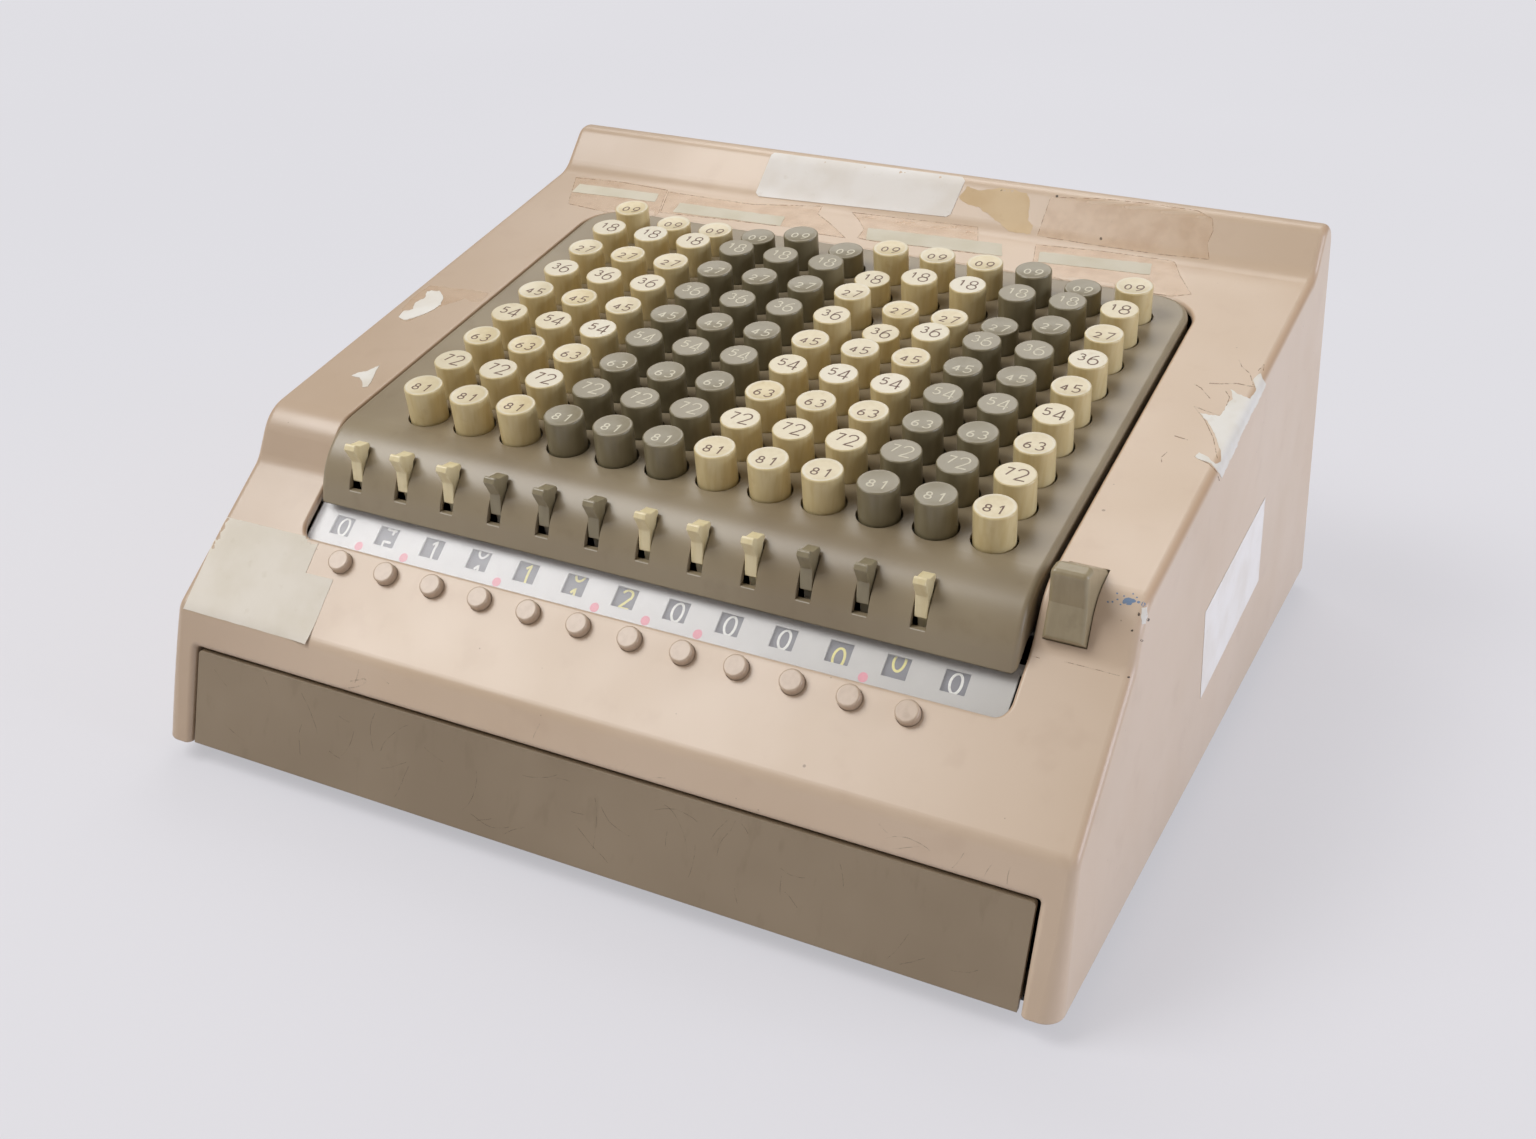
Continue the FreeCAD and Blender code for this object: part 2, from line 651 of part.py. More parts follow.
def column_lever(column):
    """Long lever under one column, hung on the rear shaft, with a sector beside its wheel."""
    middle = column_x(column)
    pivot = lever_pivot()
    top = LEVER_DEPTH - LEVER_HEIGHT / 2
    bottom = LEVER_DEPTH + LEVER_HEIGHT / 2
    left = middle - SECTOR_OFFSET - SECTOR_THICKNESS / 2
    right = left + SECTOR_THICKNESS
    towards_wheel = wheel_centre() - pivot
    mesh_angle = math.atan2(towards_wheel.z, towards_wheel.y) % (2 * math.pi)
    outer = towards_wheel.Length - pinion_radius() - SECTOR_GAP
    arm_angle = math.pi + DECK_SLOPE + LEVER_HEIGHT / 2 / outer
    arm_s = LEVER_PIVOT_S - outer + SECTOR_WIDTH / 2
    bridge_s = LEVER_FRONT_S + LEVER_BRIDGE_LENGTH
    bar = deck_bar(middle - LEVER_THICKNESS / 2, middle + LEVER_THICKNESS / 2,
                   LEVER_FRONT_S, LEVER_PIVOT_S, top, bottom)
    bridge = deck_bar(left, middle + LEVER_THICKNESS / 2, LEVER_FRONT_S, bridge_s, top, bottom)
    arm = deck_bar(left, right, arm_s, bridge_s, top, bottom)
    sector = ring_sector(pivot, outer - SECTOR_WIDTH, outer, mesh_angle - LEVER_SWING - SECTOR_SPARE,
                         arm_angle, left, right)
    hub = cross_rod(pivot.y, pivot.z, LEVER_HUB_RADIUS,
                    middle - LEVER_HUB_WIDTH / 2, middle + LEVER_HUB_WIDTH / 2)
    bore = cross_rod(pivot.y, pivot.z, LEVER_SHAFT_RADIUS + RUNNING_CLEARANCE,
                     middle - LEVER_HUB_WIDTH, middle + LEVER_HUB_WIDTH)
    return fuse_all([bar, bridge, arm, sector, hub]).cut(bore)


def tab(index):
    """One cut-off tab: a lipped head on a neck that runs down to the tab shaft."""
    middle = TAB_FIRST_X + COLUMN_PITCH * (index - 1)
    low = middle - TAB_WIDTH / 2
    high = middle + TAB_WIDTH / 2
    blade = across(TAB_OUTLINE, low, high)
    head = [edge for edge in blade.Edges if on_tab_head(edge)]
    blade = blade.makeFillet(TAB_EDGE_ROUND, head)
    hub = cross_rod(TAB_PIVOT_Y, TAB_PIVOT_Z, TAB_HUB_RADIUS, low, high)
    bore = cross_rod(TAB_PIVOT_Y, TAB_PIVOT_Z, TAB_SHAFT_RADIUS + RUNNING_CLEARANCE, low - 1, high + 1)
    return fuse_all([blade, hub]).cut(bore)


def on_tab_head(edge):
    """True for an outline edge of a tab's head."""
    spots = edge_spots(edge)
    return min(spot.z for spot in spots) > TAB_HEAD_Z and abs(spots[0].x - spots[-1].x) < TOLERANCE


def tab_group(first, last):
    return Part.makeCompound([tab(index) for index in range(first, last + 1)])


def decimal_pegs():
    """Round pegs in a line below the window."""
    down = apron_point(0, 0, 1) - apron_point(0, 0, 0)
    pegs = []
    for index in range(COLUMNS):
        top = apron_point(PEG_FIRST_X + COLUMN_PITCH * index, PEG_UP_APRON, -PEG_ABOVE)
        peg = rod(top, PEG_RADIUS, PEG_ABOVE + PEG_BELOW, down)
        rim = [edge for edge in peg.Edges
               if edge.Length > PEG_RADIUS and (edge.CenterOfMass - top).Length < TOLERANCE]
        pegs.append(peg.makeFillet(PEG_EDGE_ROUND, rim))
    return Part.makeCompound(pegs)


def clear_travel():
    """Direction in which the clear key is pressed, as (y, z)."""
    return math.cos(CLEAR_SLOPE), math.sin(CLEAR_SLOPE)


def along(point, distance, direction):
    return point[0] + distance * direction[0], point[1] + distance * direction[1]


def clear_wedge(gap):
    """The space between the clear key's drafted sides, wider by gap on each side."""
    reach = CLEAR_DRAFT_REACH
    base_z = CLEAR_LOW[1]
    low = CLEAR_HALF_WIDTH + reach * CLEAR_DRAFT + gap
    high = CLEAR_HALF_WIDTH - reach * CLEAR_DRAFT + gap
    plan = [(-low, base_z - reach, 0), (low, base_z - reach, 0),
            (high, base_z + reach, 0), (-high, base_z + reach, 0)]
    return slab(plan, lambda x, z: Vector(CLEAR_MIDDLE_X + x, -FAR, z), Vector(0, 2 * FAR, 0))


def clear_key():
    """Wedge-shaped key that slides into the step beside the keyboard."""
    travel = clear_travel()
    outline = [CLEAR_LOW, CLEAR_CREASE, CLEAR_FRONT_TOP, CLEAR_TOP, CLEAR_BACK_TOP,
               along(CLEAR_BACK_TOP, CLEAR_BACK_REACH, travel), along(CLEAR_LOW, CLEAR_FRONT_REACH, travel)]
    key = across([(y, z, 0) for y, z in outline], -FAR, FAR).common(clear_wedge(0))
    inner_z = along(CLEAR_BACK_TOP, CLEAR_BACK_REACH, travel)[1]
    outside = []
    for edge in key.Edges:
        spots = [vertex.Point for vertex in edge.Vertexes]
        buried = [spot.z < CLEAR_LOW[1] - TOLERANCE or abs(spot.z - inner_z) < TOLERANCE for spot in spots]
        crease = all(abs(spot.z - CLEAR_CREASE[1]) < TOLERANCE for spot in spots)
        if not any(buried) and not crease:
            outside.append(edge)
    return key.makeFillet(CLEAR_EDGE_ROUND, outside)


def clear_key_slot():
    """The clear key's own outline with a gap all round, through the casing's step."""
    travel = clear_travel()
    side = (-travel[1], travel[0])
    low = along(CLEAR_LOW, -CLEAR_GAP, side)
    back = along(CLEAR_BACK_TOP, CLEAR_GAP, side)
    outline = [along(low, -CLEAR_SLOT_REACH, travel), along(low, CLEAR_BACK_REACH, travel),
               along(back, CLEAR_BACK_REACH, travel), along(back, -CLEAR_SLOT_REACH, travel)]
    return across([(y, z, 0) for y, z in outline], -FAR, FAR).common(clear_wedge(CLEAR_GAP))


def apron_plate(plan, depth, thickness):
    """Flat plate parallel to the apron, from an outline of (x, s, corner radius) points."""
    up = apron_point(0, 0, -1) - apron_point(0, 0, 0)
    return slab(plan, lambda x, s: apron_point(x, s, depth + thickness), up * thickness)


def display_window():
    """Clear strip over the number wheels."""
    left = OPENING_MIDDLE_X - WINDOW_HALF_WIDTH
    right = OPENING_MIDDLE_X + WINDOW_HALF_WIDTH
    plan = [(left, WINDOW_START, WINDOW_CORNER), (right, WINDOW_START, WINDOW_CORNER),
            (right, WINDOW_END, 0), (left, WINDOW_END, 0)]
    return apron_plate(plan, WINDOW_DEPTH, WINDOW_THICKNESS)


def dial_mask():
    """Pale plate under the window, held by ears, with one aperture for each wheel."""
    depth = WINDOW_DEPTH + WINDOW_THICKNESS
    ear = FRAME_INNER_X
    half = MASK_HALF_WIDTH
    plan = [(-half, MASK_START, WINDOW_CORNER), (half, MASK_START, WINDOW_CORNER),
            (half, MASK_EAR_START, 0), (ear, MASK_EAR_START, 0), (ear, MASK_END, 0),
            (-ear, MASK_END, 0), (-ear, MASK_EAR_START, 0), (-half, MASK_EAR_START, 0)]
    plate = apron_plate(plan, depth, MASK_THICKNESS)
    up = apron_point(0, 0, -1) - apron_point(0, 0, 0)
    half = APERTURE_LENGTH / 2
    apertures = []
    for wheel in range(1, WHEELS + 1):
        left = wheel_x(wheel) - APERTURE_WIDTH / 2
        right = left + APERTURE_WIDTH
        plan = [(left, APERTURE_MIDDLE - half, 0), (right, APERTURE_MIDDLE - half, 0),
                (right, APERTURE_MIDDLE + half, 0), (left, APERTURE_MIDDLE + half, 0)]
        apertures.append(slab(plan, lambda x, s: apron_point(x, s, depth + CUT_REACH), up * 2 * CUT_REACH))
    return plate.cut(Part.makeCompound(apertures))


def front_panel():
    """Leaning panel between the casing's legs, with a flange that sits on the base plate."""
    lean = front_lean()

    def face_y(z, recess):
        return FRONT_Y + (z - CASING_BOTTOM) * lean + recess * math.hypot(1, lean)
    half = PANEL_HALF_WIDTH
    front = PANEL_RECESS
    back = PANEL_RECESS + PANEL_THICKNESS
    section = [(face_y(PANEL_BOTTOM, front), PANEL_BOTTOM, 0),
               (face_y(PANEL_BOTTOM, back), PANEL_BOTTOM, 0),
               (face_y(BASE_TOP, back), BASE_TOP, 0),
               (face_y(BASE_TOP, back) + PANEL_FLANGE, BASE_TOP, 0),
               (face_y(BASE_TOP, back) + PANEL_FLANGE, BASE_TOP + PANEL_FLANGE_THICKNESS, 0),
               (face_y(BASE_TOP + PANEL_FLANGE_THICKNESS, back), BASE_TOP + PANEL_FLANGE_THICKNESS, 0),
               (face_y(PANEL_TOP, back), PANEL_TOP, 0),
               (face_y(PANEL_TOP, front), PANEL_TOP, 0)]
    panel = across(section, -half, half)
    plan = [(-half, 0, 0), (half, 0, 0), (half, PANEL_TOP, PANEL_CORNER), (-half, PANEL_TOP, PANEL_CORNER)]
    return panel.common(slab(plan, lambda x, z: Vector(x, -FAR, z), Vector(0, FAR, 0)))


def base_plate():
    """Flat bottom inside the casing's walls, cut back behind the front panel."""
    corner = Vector(-FAR, FRONT_Y + BASE_SETBACK, BASE_UNDERSIDE)
    plate = Part.makeBox(2 * FAR, 2 * FAR, BASE_THICKNESS, corner)
    plate = plate.common(casing_inside())
    holes = [rod(Vector(x, y, 0), SCREW_RADIUS + SCREW_CLEARANCE, FAR, UP) for x, y in screw_places()]
    return plate.cut(Part.makeCompound(holes))


def screw_places():
    middle = FRAME_INNER_X + FRAME_THICKNESS + FRAME_FLANGE / 2
    return [(side * middle, y) for side in (-1, 1) for y in SCREW_YS]


def base_screws():
    """Screws that hold the side frames to the base plate from below."""
    screws = []
    for x, y in screw_places():
        head = rod(Vector(x, y, BASE_UNDERSIDE - SCREW_HEAD_HEIGHT), SCREW_HEAD_RADIUS, SCREW_HEAD_HEIGHT, UP)
        length = BASE_THICKNESS + FRAME_THICKNESS + SCREW_PROUD
        shank = rod(Vector(x, y, BASE_UNDERSIDE), SCREW_RADIUS, length, UP)
        screws.append(fuse_all([head, shank]))
    return Part.makeCompound(screws)


def rubber_feet():
    feet = []
    for x in (-FOOT_X, FOOT_X):
        for y in (-FOOT_Y, FOOT_Y):
            feet.append(Part.makeCone(FOOT_RADIUS, FOOT_TOP_RADIUS, BASE_UNDERSIDE, Vector(x, y, 0)))
    return Part.makeCompound(feet)


def frame_bores():
    """Journal holes of the side frames, as (y, z, shaft radius)."""
    wheel = wheel_centre()
    lever = lever_pivot()
    bores = [(wheel.y, wheel.z, DIAL_SHAFT_RADIUS), (TAB_PIVOT_Y, TAB_PIVOT_Z, TAB_SHAFT_RADIUS),
             (lever.y, lever.z, LEVER_SHAFT_RADIUS)]
    return bores + [(y, z, TIE_ROD_RADIUS) for y, z in TIE_ROD_PLACES]


def side_frame(side):
    """Steel side plate with a foot flange turned outwards; side is -1 for the left one."""
    inner = side * FRAME_INNER_X
    outer = side * (FRAME_INNER_X + FRAME_THICKNESS)
    toe = side * (FRAME_INNER_X + FRAME_THICKNESS + FRAME_FLANGE)
    plate = across(FRAME_OUTLINE, min(inner, outer), max(inner, outer))
    front = FRAME_OUTLINE[0][0]
    rear = FRAME_OUTLINE[-1][0]
    flange = Part.makeBox(abs(toe - inner), rear - front, FRAME_THICKNESS,
                          Vector(min(inner, toe), front, BASE_TOP))
    frame = fuse_all([plate, flange])
    holes = [cross_rod(y, z, radius - JOURNAL_STEP + RUNNING_CLEARANCE, -FAR, FAR)
             for y, z, radius in frame_bores()]
    holes += [rod(Vector(x, y, 0), SCREW_RADIUS + SCREW_CLEARANCE, FAR, UP) for x, y in screw_places()]
    return frame.cut(Part.makeCompound(holes))


def stepped_shaft(y, z, radius):
    """Shaft between the frames with thinner journals that pass through them."""
    reach = FRAME_INNER_X + FRAME_THICKNESS + JOURNAL_PROUD
    body = cross_rod(y, z, radius, -FRAME_INNER_X, FRAME_INNER_X)
    return fuse_all([body, cross_rod(y, z, radius - JOURNAL_STEP, -reach, reach)])


def tie_rods():
    return Part.makeCompound([stepped_shaft(y, z, TIE_ROD_RADIUS) for y, z in TIE_ROD_PLACES])


def save(name, shape):
    shape.exportStep(os.path.join("parts", name + ".step"))


def main():
    os.makedirs("parts", exist_ok=True)
    wheel = wheel_centre()
    lever = lever_pivot()
    save("outer_casing", outer_casing())
    save("keyboard_cover", keyboard_cover())
    save("front_panel", front_panel())
    save("base_plate", base_plate())
    save("left_side_frame", side_frame(-1))
    save("right_side_frame", side_frame(1))
    save("display_window", display_window())
    save("dial_mask", dial_mask())
    save("upper_key_guide", key_guide(UPPER_GUIDE_DEPTH, COVER_REAR_S))
    save("lower_key_guide", key_guide(LOWER_GUIDE_DEPTH, LOWER_GUIDE_REAR_S))
    save("lever_shaft", stepped_shaft(lever.y, lever.z, LEVER_SHAFT_RADIUS))
    save("dial_shaft", stepped_shaft(wheel.y, wheel.z, DIAL_SHAFT_RADIUS))
    save("tab_shaft", stepped_shaft(TAB_PIVOT_Y, TAB_PIVOT_Z, TAB_SHAFT_RADIUS))
    save("tie_rods", tie_rods())
    save("rubber_feet", rubber_feet())
    save("base_screws", base_screws())
    save("clear_key", clear_key())
    save("decimal_pegs", decimal_pegs())
    for name, first, last in TAB_GROUPS:
        save("tabs_" + name, tab_group(first, last))
    for column in range(1, COLUMNS + 1):
        save(f"keys_column_{column:02d}", keys_column(column))
        save(f"column_lever_{column:02d}", column_lever(column))
    for index in range(1, WHEELS + 1):
        save(f"number_wheel_{index:02d}", number_wheel(index))


main()
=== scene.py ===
import math
import random

import bmesh
import bpy
from mathutils import Matrix, Vector
from mathutils.bvhtree import BVHTree
from mathutils.geometry import delaunay_2d_cdt


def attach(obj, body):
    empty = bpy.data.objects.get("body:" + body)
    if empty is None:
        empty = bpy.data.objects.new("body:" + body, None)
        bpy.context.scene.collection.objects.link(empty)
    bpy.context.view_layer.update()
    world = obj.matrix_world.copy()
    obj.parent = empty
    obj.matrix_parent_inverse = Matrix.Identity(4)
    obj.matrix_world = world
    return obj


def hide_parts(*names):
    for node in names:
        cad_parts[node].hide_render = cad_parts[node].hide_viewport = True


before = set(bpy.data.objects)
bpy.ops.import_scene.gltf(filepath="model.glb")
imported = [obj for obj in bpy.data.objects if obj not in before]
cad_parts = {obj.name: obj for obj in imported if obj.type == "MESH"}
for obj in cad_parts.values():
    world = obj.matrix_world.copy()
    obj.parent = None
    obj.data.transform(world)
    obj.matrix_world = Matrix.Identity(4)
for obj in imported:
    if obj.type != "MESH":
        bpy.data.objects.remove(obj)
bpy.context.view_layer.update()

# Key-driven desk calculator. Everything is in metres, +X right, +Y to the rear, +Z up.
MM = 0.001

# Keyboard: columns across, rows up the sloping deck
COLUMNS = 12
ROWS = 9
WHEELS = 13
OLIVE_COLUMNS = (4, 5, 6, 10, 11)
FIRST_COLUMN_X = -99.4 * MM
COLUMN_PITCH = 19.05 * MM
ROW_PITCH = 18.54 * MM
DECK_SLOPE = math.radians(9.4)
DECK_FRONT = Vector((0, -75.2, 113.55)) * MM
CAP_ABOVE_DECK = 12.5 * MM
CAP_RADIUS = 6.8 * MM
# Radii between which the painted highlight round the rims of the dished tops fades in
RIM_HIGHLIGHT = (CAP_RADIUS - 1.5 * MM, CAP_RADIUS - 1.0 * MM)
CAP_DISH_RADIUS = 40.0 * MM
CAP_DISH_DEPTH = 0.45 * MM
STUCK_KEY_DROP = 4.0 * MM
KEY_CELL = (COLUMN_PITCH, ROW_PITCH * math.cos(DECK_SLOPE), 1.0)
KEY_CELL_START = (FIRST_COLUMN_X - COLUMN_PITCH / 2,
                  DECK_FRONT.y - CAP_ABOVE_DECK * math.sin(DECK_SLOPE) - KEY_CELL[1] / 2, 0.0)
STUCK_KEYS = ((2, 9), (3, 9), (4, 9), (6, 9), (7, 8), (8, 6), (8, 7), (9, 7), (10, 7), (11, 9))

# Apron and the dials below its window
APRON_SLOPE = math.radians(38.0)
WINDOW_FRONT = Vector((0, -115.05, 78.89)) * MM
FIRST_WHEEL_X = -117.3 * MM
WHEEL_RADIUS = 15.1 * MM
WHEEL_CENTRE = Vector((0, -96.72, 67.451)) * MM
FIRST_PEG_X = -107.3 * MM
WINDOW_CLEARANCE = 0.1 * MM
DIAL_PLATE_DEPTH = 4.2 * MM
MARK_UP_APRON = 1.6 * MM
MARK_RADII = (1.6 * MM, 1.7 * MM)
DIAL_VALUES = (0, 4.5, 1, 0.5, 1, 0.55, 2, 0, 0, 0, -0.15, 0.25, 0)
YELLOW_DIALS = (5, 6, 7, 11, 12)
RED_MARKS = (1, 2, 4, 6, 7, 8, 11)

# Slots of the cut-off tabs
FIRST_TAB_X = -112.3 * MM
TAB_SLOT_WIDTH = 5.2 * MM
TAB_SLOT_BOTTOM_Z = 93.4 * MM
LIP_Z = TAB_SLOT_BOTTOM_Z - 0.25 * MM
LIP_WIDTH = 0.3 * MM

# Camera, solved from the key grid
CAMERA_AT = Vector((249.4, -523.25, 354.9)) * MM
CAMERA_LOOK = Vector((-0.3815, 0.7913, -0.4779))
CAMERA_ROLL = math.radians(0.5)
CAMERA_LENS = 40.12
CAMERA_SENSOR = 36.0
PHOTO_WIDTH = 1536
PHOTO_HEIGHT = 1139

# Where the line of sight that misses a part is tried for the part's nearest point, from the camera on
SIGHT_START = 0.35
SIGHT_STEP = 0.004
SIGHT_TRIES = 150

# Backdrop and the floor's faint shade, the room's tone and light on the object, what the lamps point at, how
# far the floor is evened out to the backdrop as a distance from the middle and the share there, and how far
# the floor reaches
BACKDROP = "#E1E0E5"
FLOOR_SHADE = "#DFDEE3"
ROOM_TONE = "#F0E6DC"
ROOM_LIGHT = 0.35
LIT_POINT = Vector((0, 0, 0.1))
EVEN_NEAR = (0.24, 0.62)
EVEN_FAR = (0.55, 1.0)
FLOOR_REACH = 8.0

# Paint and paper lie this far above the surface that they are on, and reach this far into it
PAINT_PROUD = 0.03 * MM
PAINT_SUNK = 0.10 * MM
PAPER_THICKNESS = 0.14 * MM
TAPE_THICKNESS = 0.06 * MM

# Digits on a key, small and large: shift to the right, shift to the rear, height. Then the strokes' width,
# the height and stroke of the wheels' digits, the step that a stroke is cut into, how near the two ends of a
# closed stroke are, and the turn from one wheel digit to the next
DISHED_DIGITS = ((-2.0 * MM, -1.2 * MM, 3.7 * MM), (2.2 * MM, -0.9 * MM, 4.7 * MM))
FLAT_DIGITS = ((-2.3 * MM, 0.6 * MM, 4.1 * MM), (2.0 * MM, -0.1 * MM, 6.2 * MM))
KEY_STROKE = 0.55 * MM
DIAL_DIGIT = 6.6 * MM
DIAL_STROKE = 0.85 * MM
STROKE_STEP = 0.5 * MM
CLOSED_GAP = 0.001 * MM
DIGIT_TURN = math.radians(36)

# Scratches: the longest, their width, the length of one step in millimetres, the sharpest bend in radians per
# metre, and the wobble at a step in radians
SCRATCH_LONGEST = 18 * MM
SCRATCH_WIDTH = 0.2 * MM
SCRATCH_STEP = 1.2
SCRATCH_BEND = 90.0
SCRATCH_WOBBLE = 0.12

# How the marks on the casing are cut up, in pixels of the photograph, how much of one tear's depth goes
# on to the next, and how uneven a fleck's rim is
RIM_STEP = 2.0
LINE_STEP = 3.0
TEAR_CARRY = 0.6
FLECK_RAGGED = (0.75, 1.15)

# What the triangulation keeps, and how near two points are one
INSIDE_ONLY = 1
SAME_POINT = 0.01

# Finishes whose painted light changes between two places along the width (painted shade on the casing and on
# the dial plate, a painted sheen in the window's milkiness), and how upright a top face's normal is
CASING_LEFT_SHADE = (-70 * MM, -170 * MM)
WINDOW_LEFT_SHEEN = (-110 * MM, 100 * MM)
DIAL_PLATE_RIGHT_SHADE = (-20 * MM, 120 * MM)
LOOKS_UP = 0.9


def linear(colour):
    """Linear RGBA of an sRGB hex colour."""
    channels = [int(colour[i:i + 2], 16) / 255 for i in (1, 3, 5)]
    return tuple(c / 12.92 if c <= 0.04045 else ((c + 0.055) / 1.055) ** 2.4 for c in channels) + (1.0,)


def add(tree, kind, inputs=None, **settings):
    """Adds one node; inputs gives each socket a value, or another node's socket to link from."""
    node = tree.nodes.new(kind)
    for name, value in settings.items():
        setattr(node, name, value)
    for socket, value in (inputs or {}).items():
        if isinstance(value, bpy.types.NodeSocket):
            tree.links.new(value, node.inputs[socket])
        else:
            node.inputs[socket].default_value = value
    return node


def new_material(name):
    """An empty node material, with its object coordinates ready."""
    material = bpy.data.materials.new(name)
    material.use_nodes = True
    tree = material.node_tree
    tree.nodes.clear()
    place = add(tree, "ShaderNodeTexCoord").outputs["Object"]
    return material, tree, place


def repeats(millimetres):
    """Texture scale for a pattern whose features are this far apart."""
    return 1 / (millimetres * MM)


def blotches(tree, place, millimetres, low, high, detail=3.0, most=1.0):
    """A soft mask of noise with features of that size, from 0 to most."""
    noise = add(tree, "ShaderNodeTexNoise", {"Vector": place, "Scale": repeats(millimetres),
                                             "Detail": detail})
    return add(tree, "ShaderNodeMapRange", {"Value": noise.outputs["Fac"], "From Min": low,
                                            "From Max": high, "To Max": most},
               interpolation_type="SMOOTHSTEP").outputs["Result"]


def over_width(tree, place, start, end, most=1.0):
    """A soft mask that goes from 0 to most between two places along the object's width."""
    across = add(tree, "ShaderNodeSeparateXYZ", {0: place}).outputs["X"]
    return add(tree, "ShaderNodeMapRange", {"Value": across, "From Min": start, "From Max": end,
                                            "To Max": most},
               interpolation_type="SMOOTHSTEP").outputs["Result"]


def tinted(tree, base, layers):
    """The base colour with each (mask, colour) laid over it in turn."""
    colour = linear(base)
    for mask, tone in layers:
        colour = add(tree, "ShaderNodeMix", {0: mask, 6: colour, 7: linear(tone)},
                     data_type="RGBA").outputs[2]
    return colour


def on_top(tree, mask):
    """Keeps a mask to the faces that look straight up."""
    normal = add(tree, "ShaderNodeTexCoord").outputs["Normal"]
    upwards = add(tree, "ShaderNodeSeparateXYZ", {0: normal}).outputs["Z"]
    top = add(tree, "ShaderNodeMath", {0: upwards, 1: LOOKS_UP}, operation="GREATER_THAN").outputs[0]
    return add(tree, "ShaderNodeMath", {0: mask, 1: top}, operation="MULTIPLY").outputs[0]


def thin_film(tree, cover):
    """Alpha of a thin film: it hides that share of what lies under it, and throws no shadow on it."""
    shadow = add(tree, "ShaderNodeLightPath").outputs["Is Shadow Ray"]
    lit = add(tree, "ShaderNodeMath", {0: 1.0, 1: shadow}, operation="SUBTRACT").outputs[0]
    return add(tree, "ShaderNodeMath", {0: cover, 1: lit}, operation="MULTIPLY").outputs[0]


def grained(tree, place, millimetres, strength, depth, detail=2.0, edge=None):
    """Normal of a fine grain of that size and depth; edge is the radius to which sharp edges look rounded.
    All three are in millimetres."""
    grain = add(tree, "ShaderNodeTexNoise", {"Vector": place, "Scale": repeats(millimetres),
                                             "Detail": detail})
    inputs = {"Height": grain.outputs["Fac"], "Strength": strength, "Distance": depth * MM}
    if edge:
        inputs["Normal"] = add(tree, "ShaderNodeBevel", {"Radius": edge * MM}, samples=4).outputs["Normal"]
    return add(tree, "ShaderNodeBump", inputs).outputs["Normal"]


def casing_enamel():
    """Beige stove enamel, sprayed on sheet steel: satin, with a fine orange peel. Painted shade gives it a
    browner tone over the rounded side edges and darkens it towards the left; it has faint handling marks and
    dark chips."""
    material, tree, place = new_material("beige_stove_enamel")
    # Painted shade: a browner tone laid where the normal turns between side and top, over the rounded side
    # edges
    normal = add(tree, "ShaderNodeTexCoord").outputs["Normal"]
    facing = add(tree, "ShaderNodeSeparateXYZ", {0: normal}).outputs
    sideways = add(tree, "ShaderNodeMath", {0: facing["X"]}, operation="ABSOLUTE").outputs[0]
    edge = add(tree, "ShaderNodeMath", {0: sideways, 1: facing["Z"]}, operation="MULTIPLY").outputs[0]
    edge = add(tree, "ShaderNodeMapRange", {"Value": edge, "From Min": 0.15, "From Max": 0.5,
                                            "To Max": 0.55}).outputs["Result"]
    layers = [(blotches(tree, place, 90, 0.35, 0.65), "#CFBAA4"),
              (blotches(tree, place, 14, 0.55, 0.75, most=0.2), "#B99F88"),
              # painted shade, darker towards the left end
              (over_width(tree, place, *CASING_LEFT_SHADE, most=0.45), "#A08A74"),
              (edge, "#B8936F")]
    for apart, rim, full, tone in ((26, 0.028, 0.018, "#6F5A48"), (9, 0.034, 0.026, "#8A7462")):
        cells = add(tree, "ShaderNodeTexVoronoi", {"Vector": place, "Scale": repeats(apart),
                                                   "Randomness": 1.0})
        chip = add(tree, "ShaderNodeMapRange", {"Value": cells.outputs["Distance"], "From Min": rim,
                                                "From Max": full, "To Max": 0.6}).outputs["Result"]
        layers.append((chip, tone))
    rough = add(tree, "ShaderNodeMapRange", {"Value": blotches(tree, place, 40, 0.3, 0.7),
                                             "To Min": 0.28, "To Max": 0.36}).outputs["Result"]
    shader = add(tree, "ShaderNodeBsdfPrincipled", {
        "Base Color": tinted(tree, "#C9B39B", layers), "Roughness": rough, "IOR": 1.54,
        "Normal": grained(tree, place, 1.6, 0.10, 0.08, detail=1.0, edge=0.35)})
    add(tree, "ShaderNodeOutputMaterial", {"Surface": shader.outputs["BSDF"]})
    return material


def cover_enamel():
    """Olive-brown stove enamel: satin, with broad greyer patches painted in as a sheen."""
    material, tree, place = new_material("olive_stove_enamel")
    # The broad greyer patches are painted sheen
    layers = [(blotches(tree, place, 60, 0.35, 0.65), "#94876F"),
              (blotches(tree, place, 9, 0.55, 0.8, most=0.3), "#7A6B54")]
    shader = add(tree, "ShaderNodeBsdfPrincipled", {
        "Base Color": tinted(tree, "#8A7C64", layers), "Roughness": 0.33, "IOR": 1.54,
        "Normal": grained(tree, place, 1.4, 0.10, 0.06, detail=1.0, edge=0.45)})
    add(tree, "ShaderNodeOutputMaterial", {"Surface": shader.outputs["BSDF"]})
    return material


def panel_enamel():
    """Umber stove enamel on the front panel, uneven and lightly scuffed from handling."""
    material, tree, place = new_material("umber_stove_enamel")
    scuffed = add(tree, "ShaderNodeMapping", {"Vector": place, "Rotation": (0, math.radians(-20), 0),
                                              "Scale": (1, 1, 0.2)}).outputs[0]
    layers = [(blotches(tree, place, 70, 0.35, 0.65), "#95856F"),
              (blotches(tree, scuffed, 5, 0.58, 0.75, most=0.25), "#75664F")]
    shader = add(tree, "ShaderNodeBsdfPrincipled", {
        "Base Color": tinted(tree, "#8B7B65", layers), "Roughness": 0.40, "IOR": 1.52,
        "Normal": grained(tree, place, 1.4, 0.10, 0.06, detail=1.0, edge=0.35)})
    add(tree, "ShaderNodeOutputMaterial", {"Surface": shader.outputs["BSDF"]})
    return material


